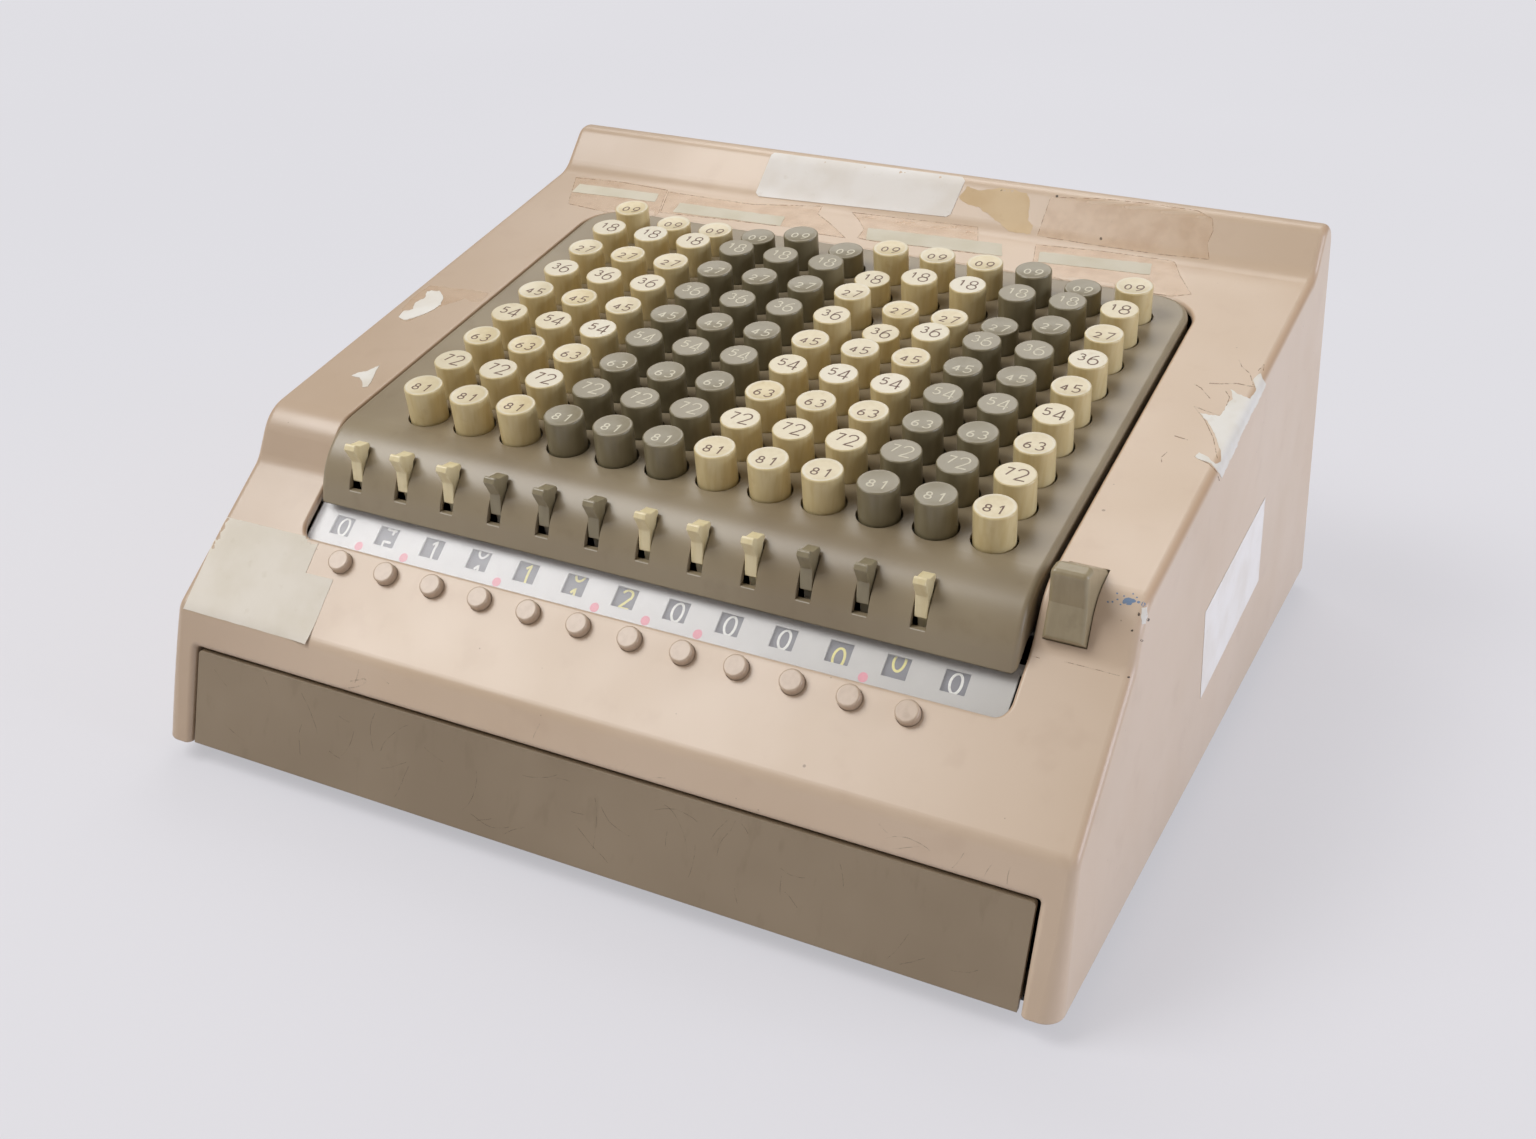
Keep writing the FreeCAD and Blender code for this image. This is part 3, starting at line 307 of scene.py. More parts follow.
def top_wear_and_light(tree, place):
    """Masks of the keys' paler tops: each top by its own amount, the flat ones more than the dished ones,
    from finger wear and painted light together; and a painted highlight round the rims of the dished ones."""
    cell = add(tree, "ShaderNodeVectorMath", {0: place, 1: KEY_CELL_START}, operation="SUBTRACT").outputs[0]
    cell = add(tree, "ShaderNodeVectorMath", {0: cell, 1: KEY_CELL}, operation="DIVIDE").outputs[0]
    rows_in = add(tree, "ShaderNodeSeparateXYZ", {0: cell}).outputs["Y"]
    pairs_in = add(tree, "ShaderNodeMath", {0: rows_in, 1: 0.5}, operation="MULTIPLY").outputs[0]
    in_pair = add(tree, "ShaderNodeMath", {0: pairs_in}, operation="FRACT").outputs[0]
    flat = add(tree, "ShaderNodeMath", {0: in_pair, 1: 0.5}, operation="GREATER_THAN").outputs[0]
    dished = add(tree, "ShaderNodeMath", {0: 1.0, 1: flat}, operation="SUBTRACT").outputs[0]
    corner = add(tree, "ShaderNodeVectorMath", {0: cell}, operation="FLOOR").outputs[0]
    chance = add(tree, "ShaderNodeTexWhiteNoise", {"Vector": corner}).outputs["Value"]
    # Paler tops, partly finger wear and partly painted light on the faces that look up
    wear_and_light = add(tree, "ShaderNodeMath", {0: flat, 1: 0.35, 2: 0.15}, operation="MULTIPLY_ADD").outputs[0]
    wear_and_light = add(tree, "ShaderNodeMath", {0: chance, 1: 0.45, 2: wear_and_light}, operation="MULTIPLY_ADD").outputs[0]
    spot = add(tree, "ShaderNodeVectorMath", {0: cell}, operation="FRACTION").outputs[0]
    spot = add(tree, "ShaderNodeVectorMath", {0: spot, 1: (0.5, 0.5, 0)}, operation="SUBTRACT").outputs[0]
    flat_cell = (*KEY_CELL[:2], 0)
    spot = add(tree, "ShaderNodeVectorMath", {0: spot, 1: flat_cell}, operation="MULTIPLY").outputs[0]
    reach = add(tree, "ShaderNodeVectorMath", {0: spot}, operation="LENGTH").outputs["Value"]
    # Painted highlight round the rims of the dished tops
    rim = add(tree, "ShaderNodeMapRange", {"Value": reach, "From Min": RIM_HIGHLIGHT[0],
                                           "From Max": RIM_HIGHLIGHT[1], "To Max": 0.6}).outputs["Result"]
    rim = add(tree, "ShaderNodeMath", {0: rim, 1: dished}, operation="MULTIPLY").outputs[0]
    return on_top(tree, wear_and_light), on_top(tree, rim)


def urea_plastic(name, pale, dark, grime, wear_and_light_tone=None):
    """Moulded urea plastic, glossy when new: aged, with soft flow lines down the sides and some grime, and on
    the keys paler on top, partly from finger wear and partly as painted light, with a painted highlight round
    the rims of the dished tops."""
    material, tree, place = new_material(name)
    drawn = add(tree, "ShaderNodeMapping", {"Vector": place, "Scale": (1, 1, 0.12)}).outputs[0]
    layers = [(blotches(tree, drawn, 2.2, 0.35, 0.7, detail=2.0, most=0.7), dark)]
    # On the keys the tops are made paler: finger wear and painted light together, with a painted rim
    # highlight
    if wear_and_light_tone:
        layers += [(mask, wear_and_light_tone) for mask in top_wear_and_light(tree, place)]
    layers.append((blotches(tree, place, 5, 0.6, 0.8, most=0.3), grime))
    shader = add(tree, "ShaderNodeBsdfPrincipled", {
        "Base Color": tinted(tree, pale, layers), "Roughness": 0.30, "IOR": 1.58,
        "Normal": grained(tree, place, 1.0, 0.06, 0.05, detail=3.0, edge=0.25)})
    add(tree, "ShaderNodeOutputMaterial", {"Surface": shader.outputs["BSDF"]})
    return material


def painted(name, colour, roughness=0.5):
    """Filled-in or silk-screened paint: matt, with slightly uneven cover."""
    material, tree, place = new_material(name)
    thin = blotches(tree, place, 1.2, 0.5, 0.8, most=0.25)
    shader = add(tree, "ShaderNodeBsdfPrincipled", {"Base Color": tinted(tree, colour, [(thin, "#9A9080")]),
                                                    "Roughness": roughness})
    add(tree, "ShaderNodeOutputMaterial", {"Surface": shader.outputs["BSDF"]})
    return material


def window_plastic():
    """Clear cellulose acetate strip, gone milky on both faces; towards its left end the milkiness is heavier,
    a painted sheen.
    """
    material, tree, place = new_material("milky_cellulose_acetate")
    # Painted sheen: the milky film is heavier towards the left end
    cover = add(tree, "ShaderNodeMapRange", {"Value": over_width(tree, place, *WINDOW_LEFT_SHEEN),
                                             "To Min": 0.22, "To Max": 0.12}).outputs["Result"]
    shader = add(tree, "ShaderNodeBsdfPrincipled", {"Base Color": linear("#F2F2F6"), "Roughness": 0.22,
                                                    "Alpha": thin_film(tree, cover), "IOR": 1.48})
    add(tree, "ShaderNodeOutputMaterial", {"Surface": shader.outputs["BSDF"]})
    return material


def dial_plate_paint():
    """Pale grey lacquer on the sheet-metal dial plate, flat, greyed by painted shade towards its right end.
    """
    material, tree, place = new_material("pale_grey_lacquer")
    # Painted shade: greyer towards the right end
    layers = [(blotches(tree, place, 9, 0.3, 0.7), "#DDDCDA"),
              (over_width(tree, place, *DIAL_PLATE_RIGHT_SHADE, most=0.8), "#B1AEA7")]
    shader = add(tree, "ShaderNodeBsdfPrincipled", {"Base Color": tinted(tree, "#D6D5D3", layers),
                                                    "Roughness": 0.5})
    add(tree, "ShaderNodeOutputMaterial", {"Surface": shader.outputs["BSDF"]})
    return material


def wheel_plastic():
    """Dark grey moulded nylon of the number wheels: even, slightly waxy."""
    material, tree, place = new_material("grey_moulded_nylon")
    layers = [(blotches(tree, place, 4, 0.3, 0.7), "#555661")]
    shader = add(tree, "ShaderNodeBsdfPrincipled", {"Base Color": tinted(tree, "#4A4B56", layers),
                                                    "Roughness": 0.5, "IOR": 1.53})
    add(tree, "ShaderNodeOutputMaterial", {"Surface": shader.outputs["BSDF"]})
    return material


def steel_sheet():
    """Zinc-plated sheet steel and ground shafts: grey, dulled, with rolling lines."""
    material, tree, place = new_material("zinc_plated_steel")
    rolled = add(tree, "ShaderNodeMapping", {"Vector": place, "Scale": (1, 0.05, 1)}).outputs[0]
    lines = blotches(tree, rolled, 0.8, 0.3, 0.7)
    rough = add(tree, "ShaderNodeMapRange", {"Value": lines, "To Min": 0.34, "To Max": 0.48})
    shader = add(tree, "ShaderNodeBsdfPrincipled", {
        "Base Color": tinted(tree, "#A9A8A4", [(lines, "#BDBCB8")]), "Metallic": 1.0,
        "Roughness": rough.outputs["Result"]})
    add(tree, "ShaderNodeOutputMaterial", {"Surface": shader.outputs["BSDF"]})
    return material


def black_japan():
    """Black japanned sheet steel of the base: hard, rather glossy, dusty in places."""
    material, tree, place = new_material("black_japan")
    dust = blotches(tree, place, 25, 0.4, 0.8)
    shader = add(tree, "ShaderNodeBsdfPrincipled", {
        "Base Color": tinted(tree, "#1C1B1A", [(dust, "#34312E")]), "Roughness": 0.45})
    add(tree, "ShaderNodeOutputMaterial", {"Surface": shader.outputs["BSDF"]})
    return material


def moulded_rubber():
    """Black moulded rubber of the feet: matt, bloomed grey."""
    material, tree, place = new_material("moulded_rubber")
    bloom = blotches(tree, place, 5, 0.4, 0.8)
    shader = add(tree, "ShaderNodeBsdfPrincipled", {
        "Base Color": tinted(tree, "#1B1B1B", [(bloom, "#333230")]), "Roughness": 0.8, "IOR": 1.52,
        "Normal": grained(tree, place, 0.8, 0.3, 0.05)})
    add(tree, "ShaderNodeOutputMaterial", {"Surface": shader.outputs["BSDF"]})
    return material


def label_paper(name, clean, yellowed, smudge):
    """Uncoated label paper: matt, faintly fibrous, yellowed and smudged."""
    material, tree, place = new_material(name)
    layers = [(blotches(tree, place, 18, 0.35, 0.7), yellowed),
              (blotches(tree, place, 4, 0.62, 0.8, most=0.3), smudge)]
    shader = add(tree, "ShaderNodeBsdfPrincipled", {
        "Base Color": tinted(tree, clean, layers), "Roughness": 0.8,
        "Normal": grained(tree, place, 0.5, 0.2, 0.03)})
    add(tree, "ShaderNodeOutputMaterial", {"Surface": shader.outputs["BSDF"]})
    return material


def aged_tape():
    """Clear adhesive tape gone brown: thin and shiny, its gum uneven underneath."""
    material, tree, place = new_material("browned_cellulose_tape")
    gum = blotches(tree, place, 8, 0.35, 0.7)
    cover = add(tree, "ShaderNodeMapRange", {"Value": gum, "To Min": 0.12, "To Max": 0.28}).outputs["Result"]
    shader = add(tree, "ShaderNodeBsdfPrincipled", {
        "Base Color": tinted(tree, "#CDAC85", [(gum, "#B9966F")]), "Roughness": 0.28,
        "Alpha": thin_film(tree, cover)})
    add(tree, "ShaderNodeOutputMaterial", {"Surface": shader.outputs["BSDF"]})
    return material


def thin_line(name, colour, cover):
    """A scratch or a line of grime: matt, broken, and only partly hiding what it lies on."""
    material, tree, place = new_material(name)
    broken = add(tree, "ShaderNodeMapRange", {"Value": blotches(tree, place, 2.0, 0.4, 0.6),
                                              "To Min": 0.15 * cover, "To Max": cover}).outputs["Result"]
    shader = add(tree, "ShaderNodeBsdfPrincipled", {"Base Color": linear(colour), "Roughness": 0.7,
                                                    "Alpha": thin_film(tree, broken)})
    add(tree, "ShaderNodeOutputMaterial", {"Surface": shader.outputs["BSDF"]})
    return material


finishes = {
    "casing": casing_enamel(),
    "cover": cover_enamel(),
    "panel": panel_enamel(),
    # The keys' last colour paints their tops paler, partly finger wear and partly painted light
    "cream": urea_plastic("aged_cream_urea", "#D3C294", "#C8B37F", "#B19864", "#D6CFBB"),
    "olive": urea_plastic("olive_urea", "#7F765C", "#766C52", "#675D44", "#897F67"),
    "tab_cream": urea_plastic("cream_tab_urea", "#E3D6AE", "#DACA9C", "#BFA876"),
    "tab_olive": urea_plastic("olive_tab_urea", "#8C8268", "#82785E", "#675D45"),
    "peg": urea_plastic("beige_urea", "#C2AD98", "#B8A28C", "#A18A74"),
    "clear_key": urea_plastic("olive_clear_key_urea", "#9A8D70", "#908366", "#74684E"),
    "window": window_plastic(),
    "dial_plate": dial_plate_paint(),
    "wheel": wheel_plastic(),
    "steel": steel_sheet(),
    "base": black_japan(),
    "rubber": moulded_rubber(),
    "paper": label_paper("white_label_paper", "#E9E6E2", "#E2DDD6", "#CDC5B8"),
    "cream_paper": label_paper("cream_label_paper", "#DFD9CE", "#D8D1C3", "#C9C0AE"),
    "strip_paper": label_paper("yellowed_strip_paper", "#CFC9B8", "#C7C0AC", "#B7AE98"),
    "tan_paper": label_paper("browned_tape_backing", "#D6BF9C", "#CDB38D", "#BDA07A"),
    "torn_paper": label_paper("torn_label_paper", "#E2E0DA", "#D6D0C4", "#C7BBA8"),
    "tape": aged_tape(),
    "brown_line": thin_line("brown_grime", "#8A6B50", 0.55),
    "fine_scratch": thin_line("fine_scratch", "#5E4F3E", 0.30),
    # Painted highlight on the lower edges of the tab slots
    "lip_highlight": painted("painted_lip_highlight", "#C2BBAA", 0.4),
    "blue_speck": painted("blue_smear_of_paint", "#6F87A6"),
    "dark_speck": painted("dark_chip", "#4A3D33"),
    "brown_fill": painted("brown_filled_paint", "#6A4F3F"),
    "pale_fill": painted("ivory_filled_paint", "#CFC9B4"),
    "dial_white": painted("white_screened_paint", "#FAFAF4"),
    "dial_yellow": painted("yellow_screened_paint", "#F4E97C"),
    "mark_red": painted("red_screened_paint", "#E58296"),
}


def paint_node(node, finish):
    """Gives a CAD node its finish."""
    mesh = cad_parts[node].data
    mesh.materials.clear()
    mesh.materials.append(finishes[finish])


def arc(centre_x, centre_y, radius_x, radius_y, start, end, count=14):
    """Points along part of an ellipse, angles in degrees."""
    points = []
    for i in range(count + 1):
        angle = math.radians(start + (end - start) * i / count)
        points.append((centre_x + radius_x * math.cos(angle), centre_y + radius_y * math.sin(angle)))
    return points


# Each digit is a few strokes in a box about 0.6 wide and 1 high
DIGITS = {
    0: (arc(0.3, 0.5, 0.28, 0.5, 90, 450, 24),),
    1: (((0.12, 0.76), (0.34, 1.0), (0.34, 0.5), (0.34, 0.0)),),
    2: (tuple(arc(0.3, 0.72, 0.27, 0.28, 165, -25, 12)) + ((0.3, 0.28), (0.04, 0.0), (0.6, 0.0)),),
    3: (tuple(arc(0.27, 0.76, 0.24, 0.24, 150, -90, 12)), tuple(arc(0.27, 0.27, 0.28, 0.27, 90, -150, 12))),
    4: (((0.62, 0.28), (0.02, 0.28), (0.46, 1.0), (0.46, 0.5), (0.46, 0.0)),),
    5: (((0.56, 1.0), (0.12, 1.0), (0.08, 0.56)) + tuple(arc(0.28, 0.31, 0.29, 0.31, 118, -145, 14)),),
    6: (tuple(arc(0.3, 0.3, 0.27, 0.3, 150, 510, 22)), tuple(arc(0.62, 0.35, 0.58, 0.65, 105, 175, 8))),
    7: (((0.04, 1.0), (0.6, 1.0), (0.38, 0.5), (0.2, 0.0)),),
    8: (arc(0.3, 0.76, 0.22, 0.24, -90, 270, 20), arc(0.3, 0.27, 0.28, 0.27, 90, 450, 22)),
    9: (tuple(arc(0.3, 0.7, 0.27, 0.3, -30, 330, 22)), tuple(arc(-0.02, 0.65, 0.58, 0.65, -75, -5, 8))),
}


def stroke_points(stroke, height):
    """A stroke scaled to the digit's height and divided so that it can follow a curved surface."""
    points = [Vector((x - 0.3, y - 0.5)) * height for x, y in stroke]
    fine = [points[0]]
    for start, end in zip(points, points[1:]):
        steps = max(1, int((end - start).length / STROKE_STEP))
        fine += [start.lerp(end, (i + 1) / steps) for i in range(steps)]
    return fine


def add_stroke(builder, points, width, place):
    """Adds one closed ribbon along the points; place turns (x, y, height) into a point in space."""
    rings = []
    count = len(points)
    closed = (points[0] - points[-1]).length < CLOSED_GAP
    for i, point in enumerate(points):
        before = points[i - 1] if i else (points[-2] if closed else point)
        after = points[i + 1] if i + 1 < count else (points[1] if closed else point)
        ahead = (after - before).normalized()
        side = Vector((-ahead.y, ahead.x)) * width / 2
        corners = [(point - side, PAINT_PROUD), (point + side, PAINT_PROUD),
                   (point + side, -PAINT_SUNK), (point - side, -PAINT_SUNK)]
        rings.append([builder.verts.new(place(spot.x, spot.y, height)) for spot, height in corners])
    for first, second in zip(rings, rings[1:]):
        for i in range(4):
            builder.faces.new((first[i], first[(i + 1) % 4], second[(i + 1) % 4], second[i]))
    builder.faces.new(rings[0][::-1])
    builder.faces.new(rings[-1])


def add_disc(builder, outline, place):
    """Adds one flat spot with that outline; place is as for add_stroke."""
    top = [builder.verts.new(place(x, y, PAINT_PROUD)) for x, y in outline]
    bottom = [builder.verts.new(place(x, y, -PAINT_SUNK)) for x, y in outline]
    builder.faces.new(top)
    builder.faces.new(bottom[::-1])
    count = len(top)
    for i in range(count):
        builder.faces.new((top[i], bottom[i], bottom[(i + 1) % count], top[(i + 1) % count]))


def add_digit(builder, digit, height, width, place):
    """Adds the strokes of one digit; place is as for add_stroke."""
    for stroke in DIGITS[digit]:
        add_stroke(builder, stroke_points(stroke, height), width, place)


def finish_piece(name, builder, finish, body, smooth=False):
    """Makes the piece from its bmesh, and sets it riding on its body."""
    bmesh.ops.recalc_face_normals(builder, faces=builder.faces)
    mesh = bpy.data.meshes.new(name)
    builder.to_mesh(mesh)
    builder.free()
    mesh.polygons.foreach_set("use_smooth", [smooth] * len(mesh.polygons))
    mesh.materials.append(finishes[finish])
    piece = bpy.data.objects.new(name, mesh)
    bpy.context.scene.collection.objects.link(piece)
    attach(piece, body)
    return piece


def deck_point(x, s, above):
    """A point s up the deck from the first key row, and above its surface."""
    return DECK_FRONT + Vector((x, s * math.cos(DECK_SLOPE) - above * math.sin(DECK_SLOPE),
                                s * math.sin(DECK_SLOPE) + above * math.cos(DECK_SLOPE)))


def apron_point(x, s, above):
    """A point s up the apron from the window's lower edge, and above its surface."""
    return WINDOW_FRONT + Vector((x, s * math.cos(APRON_SLOPE) - above * math.sin(APRON_SLOPE),
                                  s * math.sin(APRON_SLOPE) + above * math.cos(APRON_SLOPE)))


def key_digits(column):
    """The small and the large digit on each key of a column; they dip with the dished tops."""
    builder = bmesh.new()
    for row in range(1, ROWS + 1):
        dished = row % 2 == 1
        middle = FIRST_COLUMN_X + COLUMN_PITCH * (column - 1)
        top = CAP_ABOVE_DECK - (STUCK_KEY_DROP if (column, row) in STUCK_KEYS else 0)
        small, large = DISHED_DIGITS if dished else FLAT_DIGITS
        for digit, (shift_x, shift_y, height) in ((ROWS - row, small), (row, large)):
            def place(x, y, above):
                x += shift_x
                y += shift_y
                dip = 0
                if dished:
                    bowl = CAP_DISH_RADIUS - math.sqrt(CAP_DISH_RADIUS ** 2 - x * x - y * y)
                    dip = CAP_DISH_DEPTH - bowl
                return deck_point(middle + x, (row - 1) * ROW_PITCH + y, top + above - dip)
            add_digit(builder, digit, height, KEY_STROKE, place)
    olive = column in OLIVE_COLUMNS
    finish_piece(f"key_digits_{column:02d}", builder, "pale_fill" if olive else "brown_fill",
                 f"keys_{column:02d}")


def wheel_digits(index):
    """Ten digits round a number wheel's rim; the shown value faces the window."""
    builder = bmesh.new()
    middle = FIRST_WHEEL_X + COLUMN_PITCH * (index - 1)
    for digit in range(10):
        turn = DIGIT_TURN * (digit - DIAL_VALUES[index - 1])

        def place(x, y, above):
            angle = math.radians(90) + APRON_SLOPE + turn - y / WHEEL_RADIUS
            radius = WHEEL_RADIUS + above
            return WHEEL_CENTRE + Vector((middle + x, radius * math.cos(angle), radius * math.sin(angle)))
        add_digit(builder, digit, DIAL_DIGIT, DIAL_STROKE, place)
    paint = "dial_yellow" if index in YELLOW_DIALS else "dial_white"
    finish_piece(f"wheel_digits_{index:02d}", builder, paint, f"wheel_{index:02d}")


def dial_marks():
    """Small red discs on the dial plate, in line with some of the pegs."""
    builder = bmesh.new()
    for peg in RED_MARKS:
        middle = FIRST_PEG_X + COLUMN_PITCH * (peg - 1)
        outline = arc(middle, MARK_UP_APRON, *MARK_RADII, 0, 337.5, 15)
        add_disc(builder, outline, lambda x, s, above: apron_point(x, s, above - DIAL_PLATE_DEPTH))
    finish_piece("dial_marks", builder, "mark_red", "root")


def skin_of(node):
    """A tree for finding points on a CAD node's surface."""
    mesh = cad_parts[node].data
    return BVHTree.FromPolygons([v.co for v in mesh.vertices], [p.vertices for p in mesh.polygons])


def camera_turn():
    """The camera's attitude: along CAMERA_LOOK, and rolled a little."""
    return CAMERA_LOOK.to_track_quat("-Z", "Y").to_matrix() @ Matrix.Rotation(CAMERA_ROLL, 3, "Z")


def seen_on(skin, u, v):
    """The point and normal of the skin at a pixel of the photograph, or the skin's nearest point to the line
    of sight where that just misses it."""
    focal = CAMERA_LENS / CAMERA_SENSOR * PHOTO_WIDTH
    sight = camera_turn() @ Vector((u - PHOTO_WIDTH / 2, PHOTO_HEIGHT / 2 - v, -focal)).normalized()
    spot, normal, _, _ = skin.ray_cast(CAMERA_AT, sight)
    if spot is None:
        reaches = [SIGHT_START + SIGHT_STEP * i for i in range(SIGHT_TRIES)]
        nearest = [skin.find_nearest(CAMERA_AT + sight * reach) for reach in reaches]
        spot, normal, _, _ = min(nearest, key=lambda hit: hit[3])
    return spot, normal


def divided(outline, step, ragged, dice):
    """The closed outline in steps of about that many pixels, pushed in and out a little where it is torn."""
    points = []
    push = 0.0
    for start, end in zip(outline, outline[1:] + outline[:1]):
        start, end = Vector(start), Vector(end)
        ahead = (end - start).normalized()
        count = max(1, round((end - start).length / step))
        for i in range(count):
            push = TEAR_CARRY * push + dice.uniform(-1, 1) * ragged
            points.append(start.lerp(end, i / count) + Vector((-ahead.y, ahead.x)) * push)
    return points


def lay_sheet(name, skin, outline, finish, thick=PAPER_THICKNESS, ragged=0.0, curl=None, grid=5.0):
    """A thin sheet stuck on the skin, outlined in pixels of the photograph. Curl is a corner, how far the
    lift reaches from it in pixels, and the lift; grid is how far apart the inner points are, in pixels."""
    rim_points = divided(outline, RIM_STEP, ragged, random.Random(name))
    count = len(rim_points)
    low_u, high_u = min(p.x for p in rim_points), max(p.x for p in rim_points)
    low_v, high_v = min(p.y for p in rim_points), max(p.y for p in rim_points)
    inner = [Vector((low_u + grid * (i + 0.5), low_v + grid * (j + 0.5)))
             for i in range(int((high_u - low_u) / grid)) for j in range(int((high_v - low_v) / grid))]
    loop = [(i, (i + 1) % count) for i in range(count)]
    flat, _, faces, _, _, _ = delaunay_2d_cdt(rim_points + inner, loop, [], INSIDE_ONLY, SAME_POINT)
    builder = bmesh.new()
    sides = {}
    for index in sorted({corner for face in faces for corner in face}):
        spot, normal = seen_on(skin, flat[index].x, flat[index].y)
        lift = 0.0
        if curl:
            corner, reach, height = curl
            near = max(0.0, 1 - (flat[index] - Vector(corner)).length / reach)
            lift = height * near * near
        sides[index] = (builder.verts.new(spot + normal * (thick + lift)),
                        builder.verts.new(spot + normal * (lift - PAINT_SUNK)))
    used = {}
    for face in faces:
        builder.faces.new([sides[corner][0] for corner in face])
        builder.faces.new([sides[corner][1] for corner in reversed(face)])
        for first, second in zip(face, face[1:] + face[:1]):
            used.setdefault(frozenset((first, second)), []).append((first, second))
    for ends in used.values():
        if len(ends) == 1:
            first, second = ends[0]
            rim = builder.faces.new((sides[second][0], sides[first][0], sides[first][1], sides[second][1]))
            for edge in rim.edges:
                edge.smooth = False
    finish_piece(name, builder, finish, "root", smooth=True)


def on_skin(skin):
    """A place function for strokes whose points are pixels of the photograph."""
    def place(u, v, above):
        spot, normal = seen_on(skin, u, v)
        return spot + normal * above
    return place


def close_points(line, step):
    """A line's points with no gap longer than the step."""
    points = [Vector(line[0])]
    for start, end in zip(line, line[1:]):
        start, end = Vector(start), Vector(end)
        count = max(1, math.ceil((end - start).length / step))
        points += [start.lerp(end, (i + 1) / count) for i in range(count)]
    return points


def draw_lines(name, skin, lines, width, finish):
    """Thin lines on the skin; their points and their width are in pixels of the photograph."""
    builder = bmesh.new()
    for line in lines:
        add_stroke(builder, close_points(line, LINE_STEP), width, on_skin(skin))
    finish_piece(name, builder, finish, "root")


def draw_flecks(name, skin, flecks, finish):
    """Small ragged spots on the skin, as (u, v, width, height) in pixels of the photograph."""
    dice = random.Random(name)
    builder = bmesh.new()
    place = on_skin(skin)
    for u, v, across, high in flecks:
        outline = [Vector((x, y)) for x, y in arc(0, 0, across / 2, high / 2, 0, 330, 11)]
        add_disc(builder, [Vector((u, v)) + point * dice.uniform(*FLECK_RAGGED) for point in outline], place)
    finish_piece(name, builder, finish, "root")


# Blank labels, in pixels of the photograph
FRONT_LABEL = [(225.5, 516.6), (320, 539.8), (305.9, 573), (333.3, 579.6), (306.8, 644), (183.2, 608.6)]
FRONT_LABEL_CURL = ((306.8, 644), 26, 1.0 * MM)
HUMP_LABEL = [(771.5, 155), (756, 193), (758.5, 196.5), (946, 217), (950.5, 214.5), (965, 181),
              (962.5, 177.5), (775, 153)]
SIDE_LABEL = [(1265, 497.5), (1258, 580.5), (1200, 699), (1205.3, 612)]
STRIPS = ([(580, 184), (659, 194), (655, 202), (572, 192)],
          [(680, 203), (785, 217), (780, 226), (673, 212)],
          [(868, 228), (1002, 244), (1002, 256), (866, 240)],
          [(1040, 252), (1152, 264), (1150, 275), (1038, 262)])

# What is left of torn labels and browned tape
TORN_RIGHT = [(1260.2, 373.7), (1265.3, 383.9), (1263.5, 391), (1257.1, 403.3), (1249.5, 417.6),
              (1241.8, 433.9), (1234.7, 450.2), (1227.6, 464.5), (1221.9, 477.8), (1217.3, 471.6),
              (1211.2, 464), (1204.1, 460.4), (1195.9, 457.3), (1199, 452.8), (1206.1, 455.3),
              (1215.3, 464), (1220.4, 461.4), (1220.4, 451.2), (1216.3, 438), (1213.3, 431.8),
              (1207.1, 421.6), (1200, 413), (1209.2, 415), (1219.4, 416), (1224.5, 410.4), (1228.6, 402.2),
              (1233.2, 399.2), (1230.6, 389.5), (1237.8, 394.1), (1250, 398.7), (1256.1, 389),
              (1253.1, 380.8), (1256.1, 375.7)]
TORN_LEFT = [(399.1, 317.4), (404.3, 311.7), (413.5, 309.4), (414.6, 303.6), (424.9, 297.9), (427.2, 291),
             (439.9, 290.4), (443.3, 297.9), (441, 304.8), (433, 310.5), (424.9, 313), (419.2, 316),
             (413.5, 319.1), (405.4, 320.8)]
TORN_CORNER = [(351.5, 375.4), (357.2, 373.1), (367.6, 371.4), (375.6, 367.3), (380.2, 365.4), (377, 370.2),
               (373.3, 378.2), (368.1, 386.8), (363, 387.2), (361.8, 381.7), (359.5, 377.3), (353.8, 376.5)]
TAPE_LEFT = [(430.7, 285.5), (449.1, 287.6), (464, 288.9), (480.1, 291.6), (489.2, 293.5), (485.2, 297.9),
             (481.2, 302.2), (472, 301.6), (465.1, 297.9), (454.8, 301.9), (446.8, 304.8), (438.7, 307.1),
             (433, 311.1), (424.9, 313.4), (419.2, 316.2), (413.5, 319.7), (406.6, 322), (400.3, 320.3),
             (399.1, 315.1), (402.6, 310.5), (402, 308.8), (410, 300.2), (420.4, 292.1)]
TAPES = ([(576.1, 177.6), (621.6, 182.1), (667.7, 190.2), (663.1, 200.4), (659.1, 212.4), (651.1, 219.6),
          (613.6, 213.8), (568, 203.6)],
         [(668.5, 191.8), (710, 198.2), (752.9, 204.4), (822.5, 206.2), (817.7, 213.8), (830.5, 223.9),
          (845.3, 237.9), (817.1, 233.8), (787.7, 227.1), (731.4, 220.4), (660.4, 212.4)],
         [(852, 212.4), (858.7, 219.6), (864, 229.3), (857.3, 237.9), (876.1, 241.9), (916.2, 245.9),
          (977.9, 253.9), (977.9, 227.1)],
         [(1050.7, 197.3), (1099.2, 198.6), (1149, 203.5), (1198.7, 211), (1212.4, 218.5),
          (1213.2, 230.9), (1207.4, 243.3), (1209.2, 259.5), (1156.4, 254), (1099.2, 245.8),
          (1037.1, 235.9), (1042.5, 220.9)],
         [(1035.8, 244.6), (1099.2, 250.8), (1171.4, 260.7), (1175.1, 262.5), (1180.1, 275.7),
          (1191.3, 294.3), (1171.4, 296.3), (1124.1, 289.3), (1074.4, 284.4), (1032.1, 269.4)])
TORN_TAPE = [(967.5, 186), (977.4, 191.1), (1003.5, 187.9), (1027.1, 192.8), (1030.8, 201), (1027.6, 211),
             (1027.1, 219.7), (1032.6, 225.2), (1030.8, 233.9), (1009.7, 232.6), (994.8, 219.7),
             (979.8, 208.5), (964.9, 202.3), (959.5, 197)]
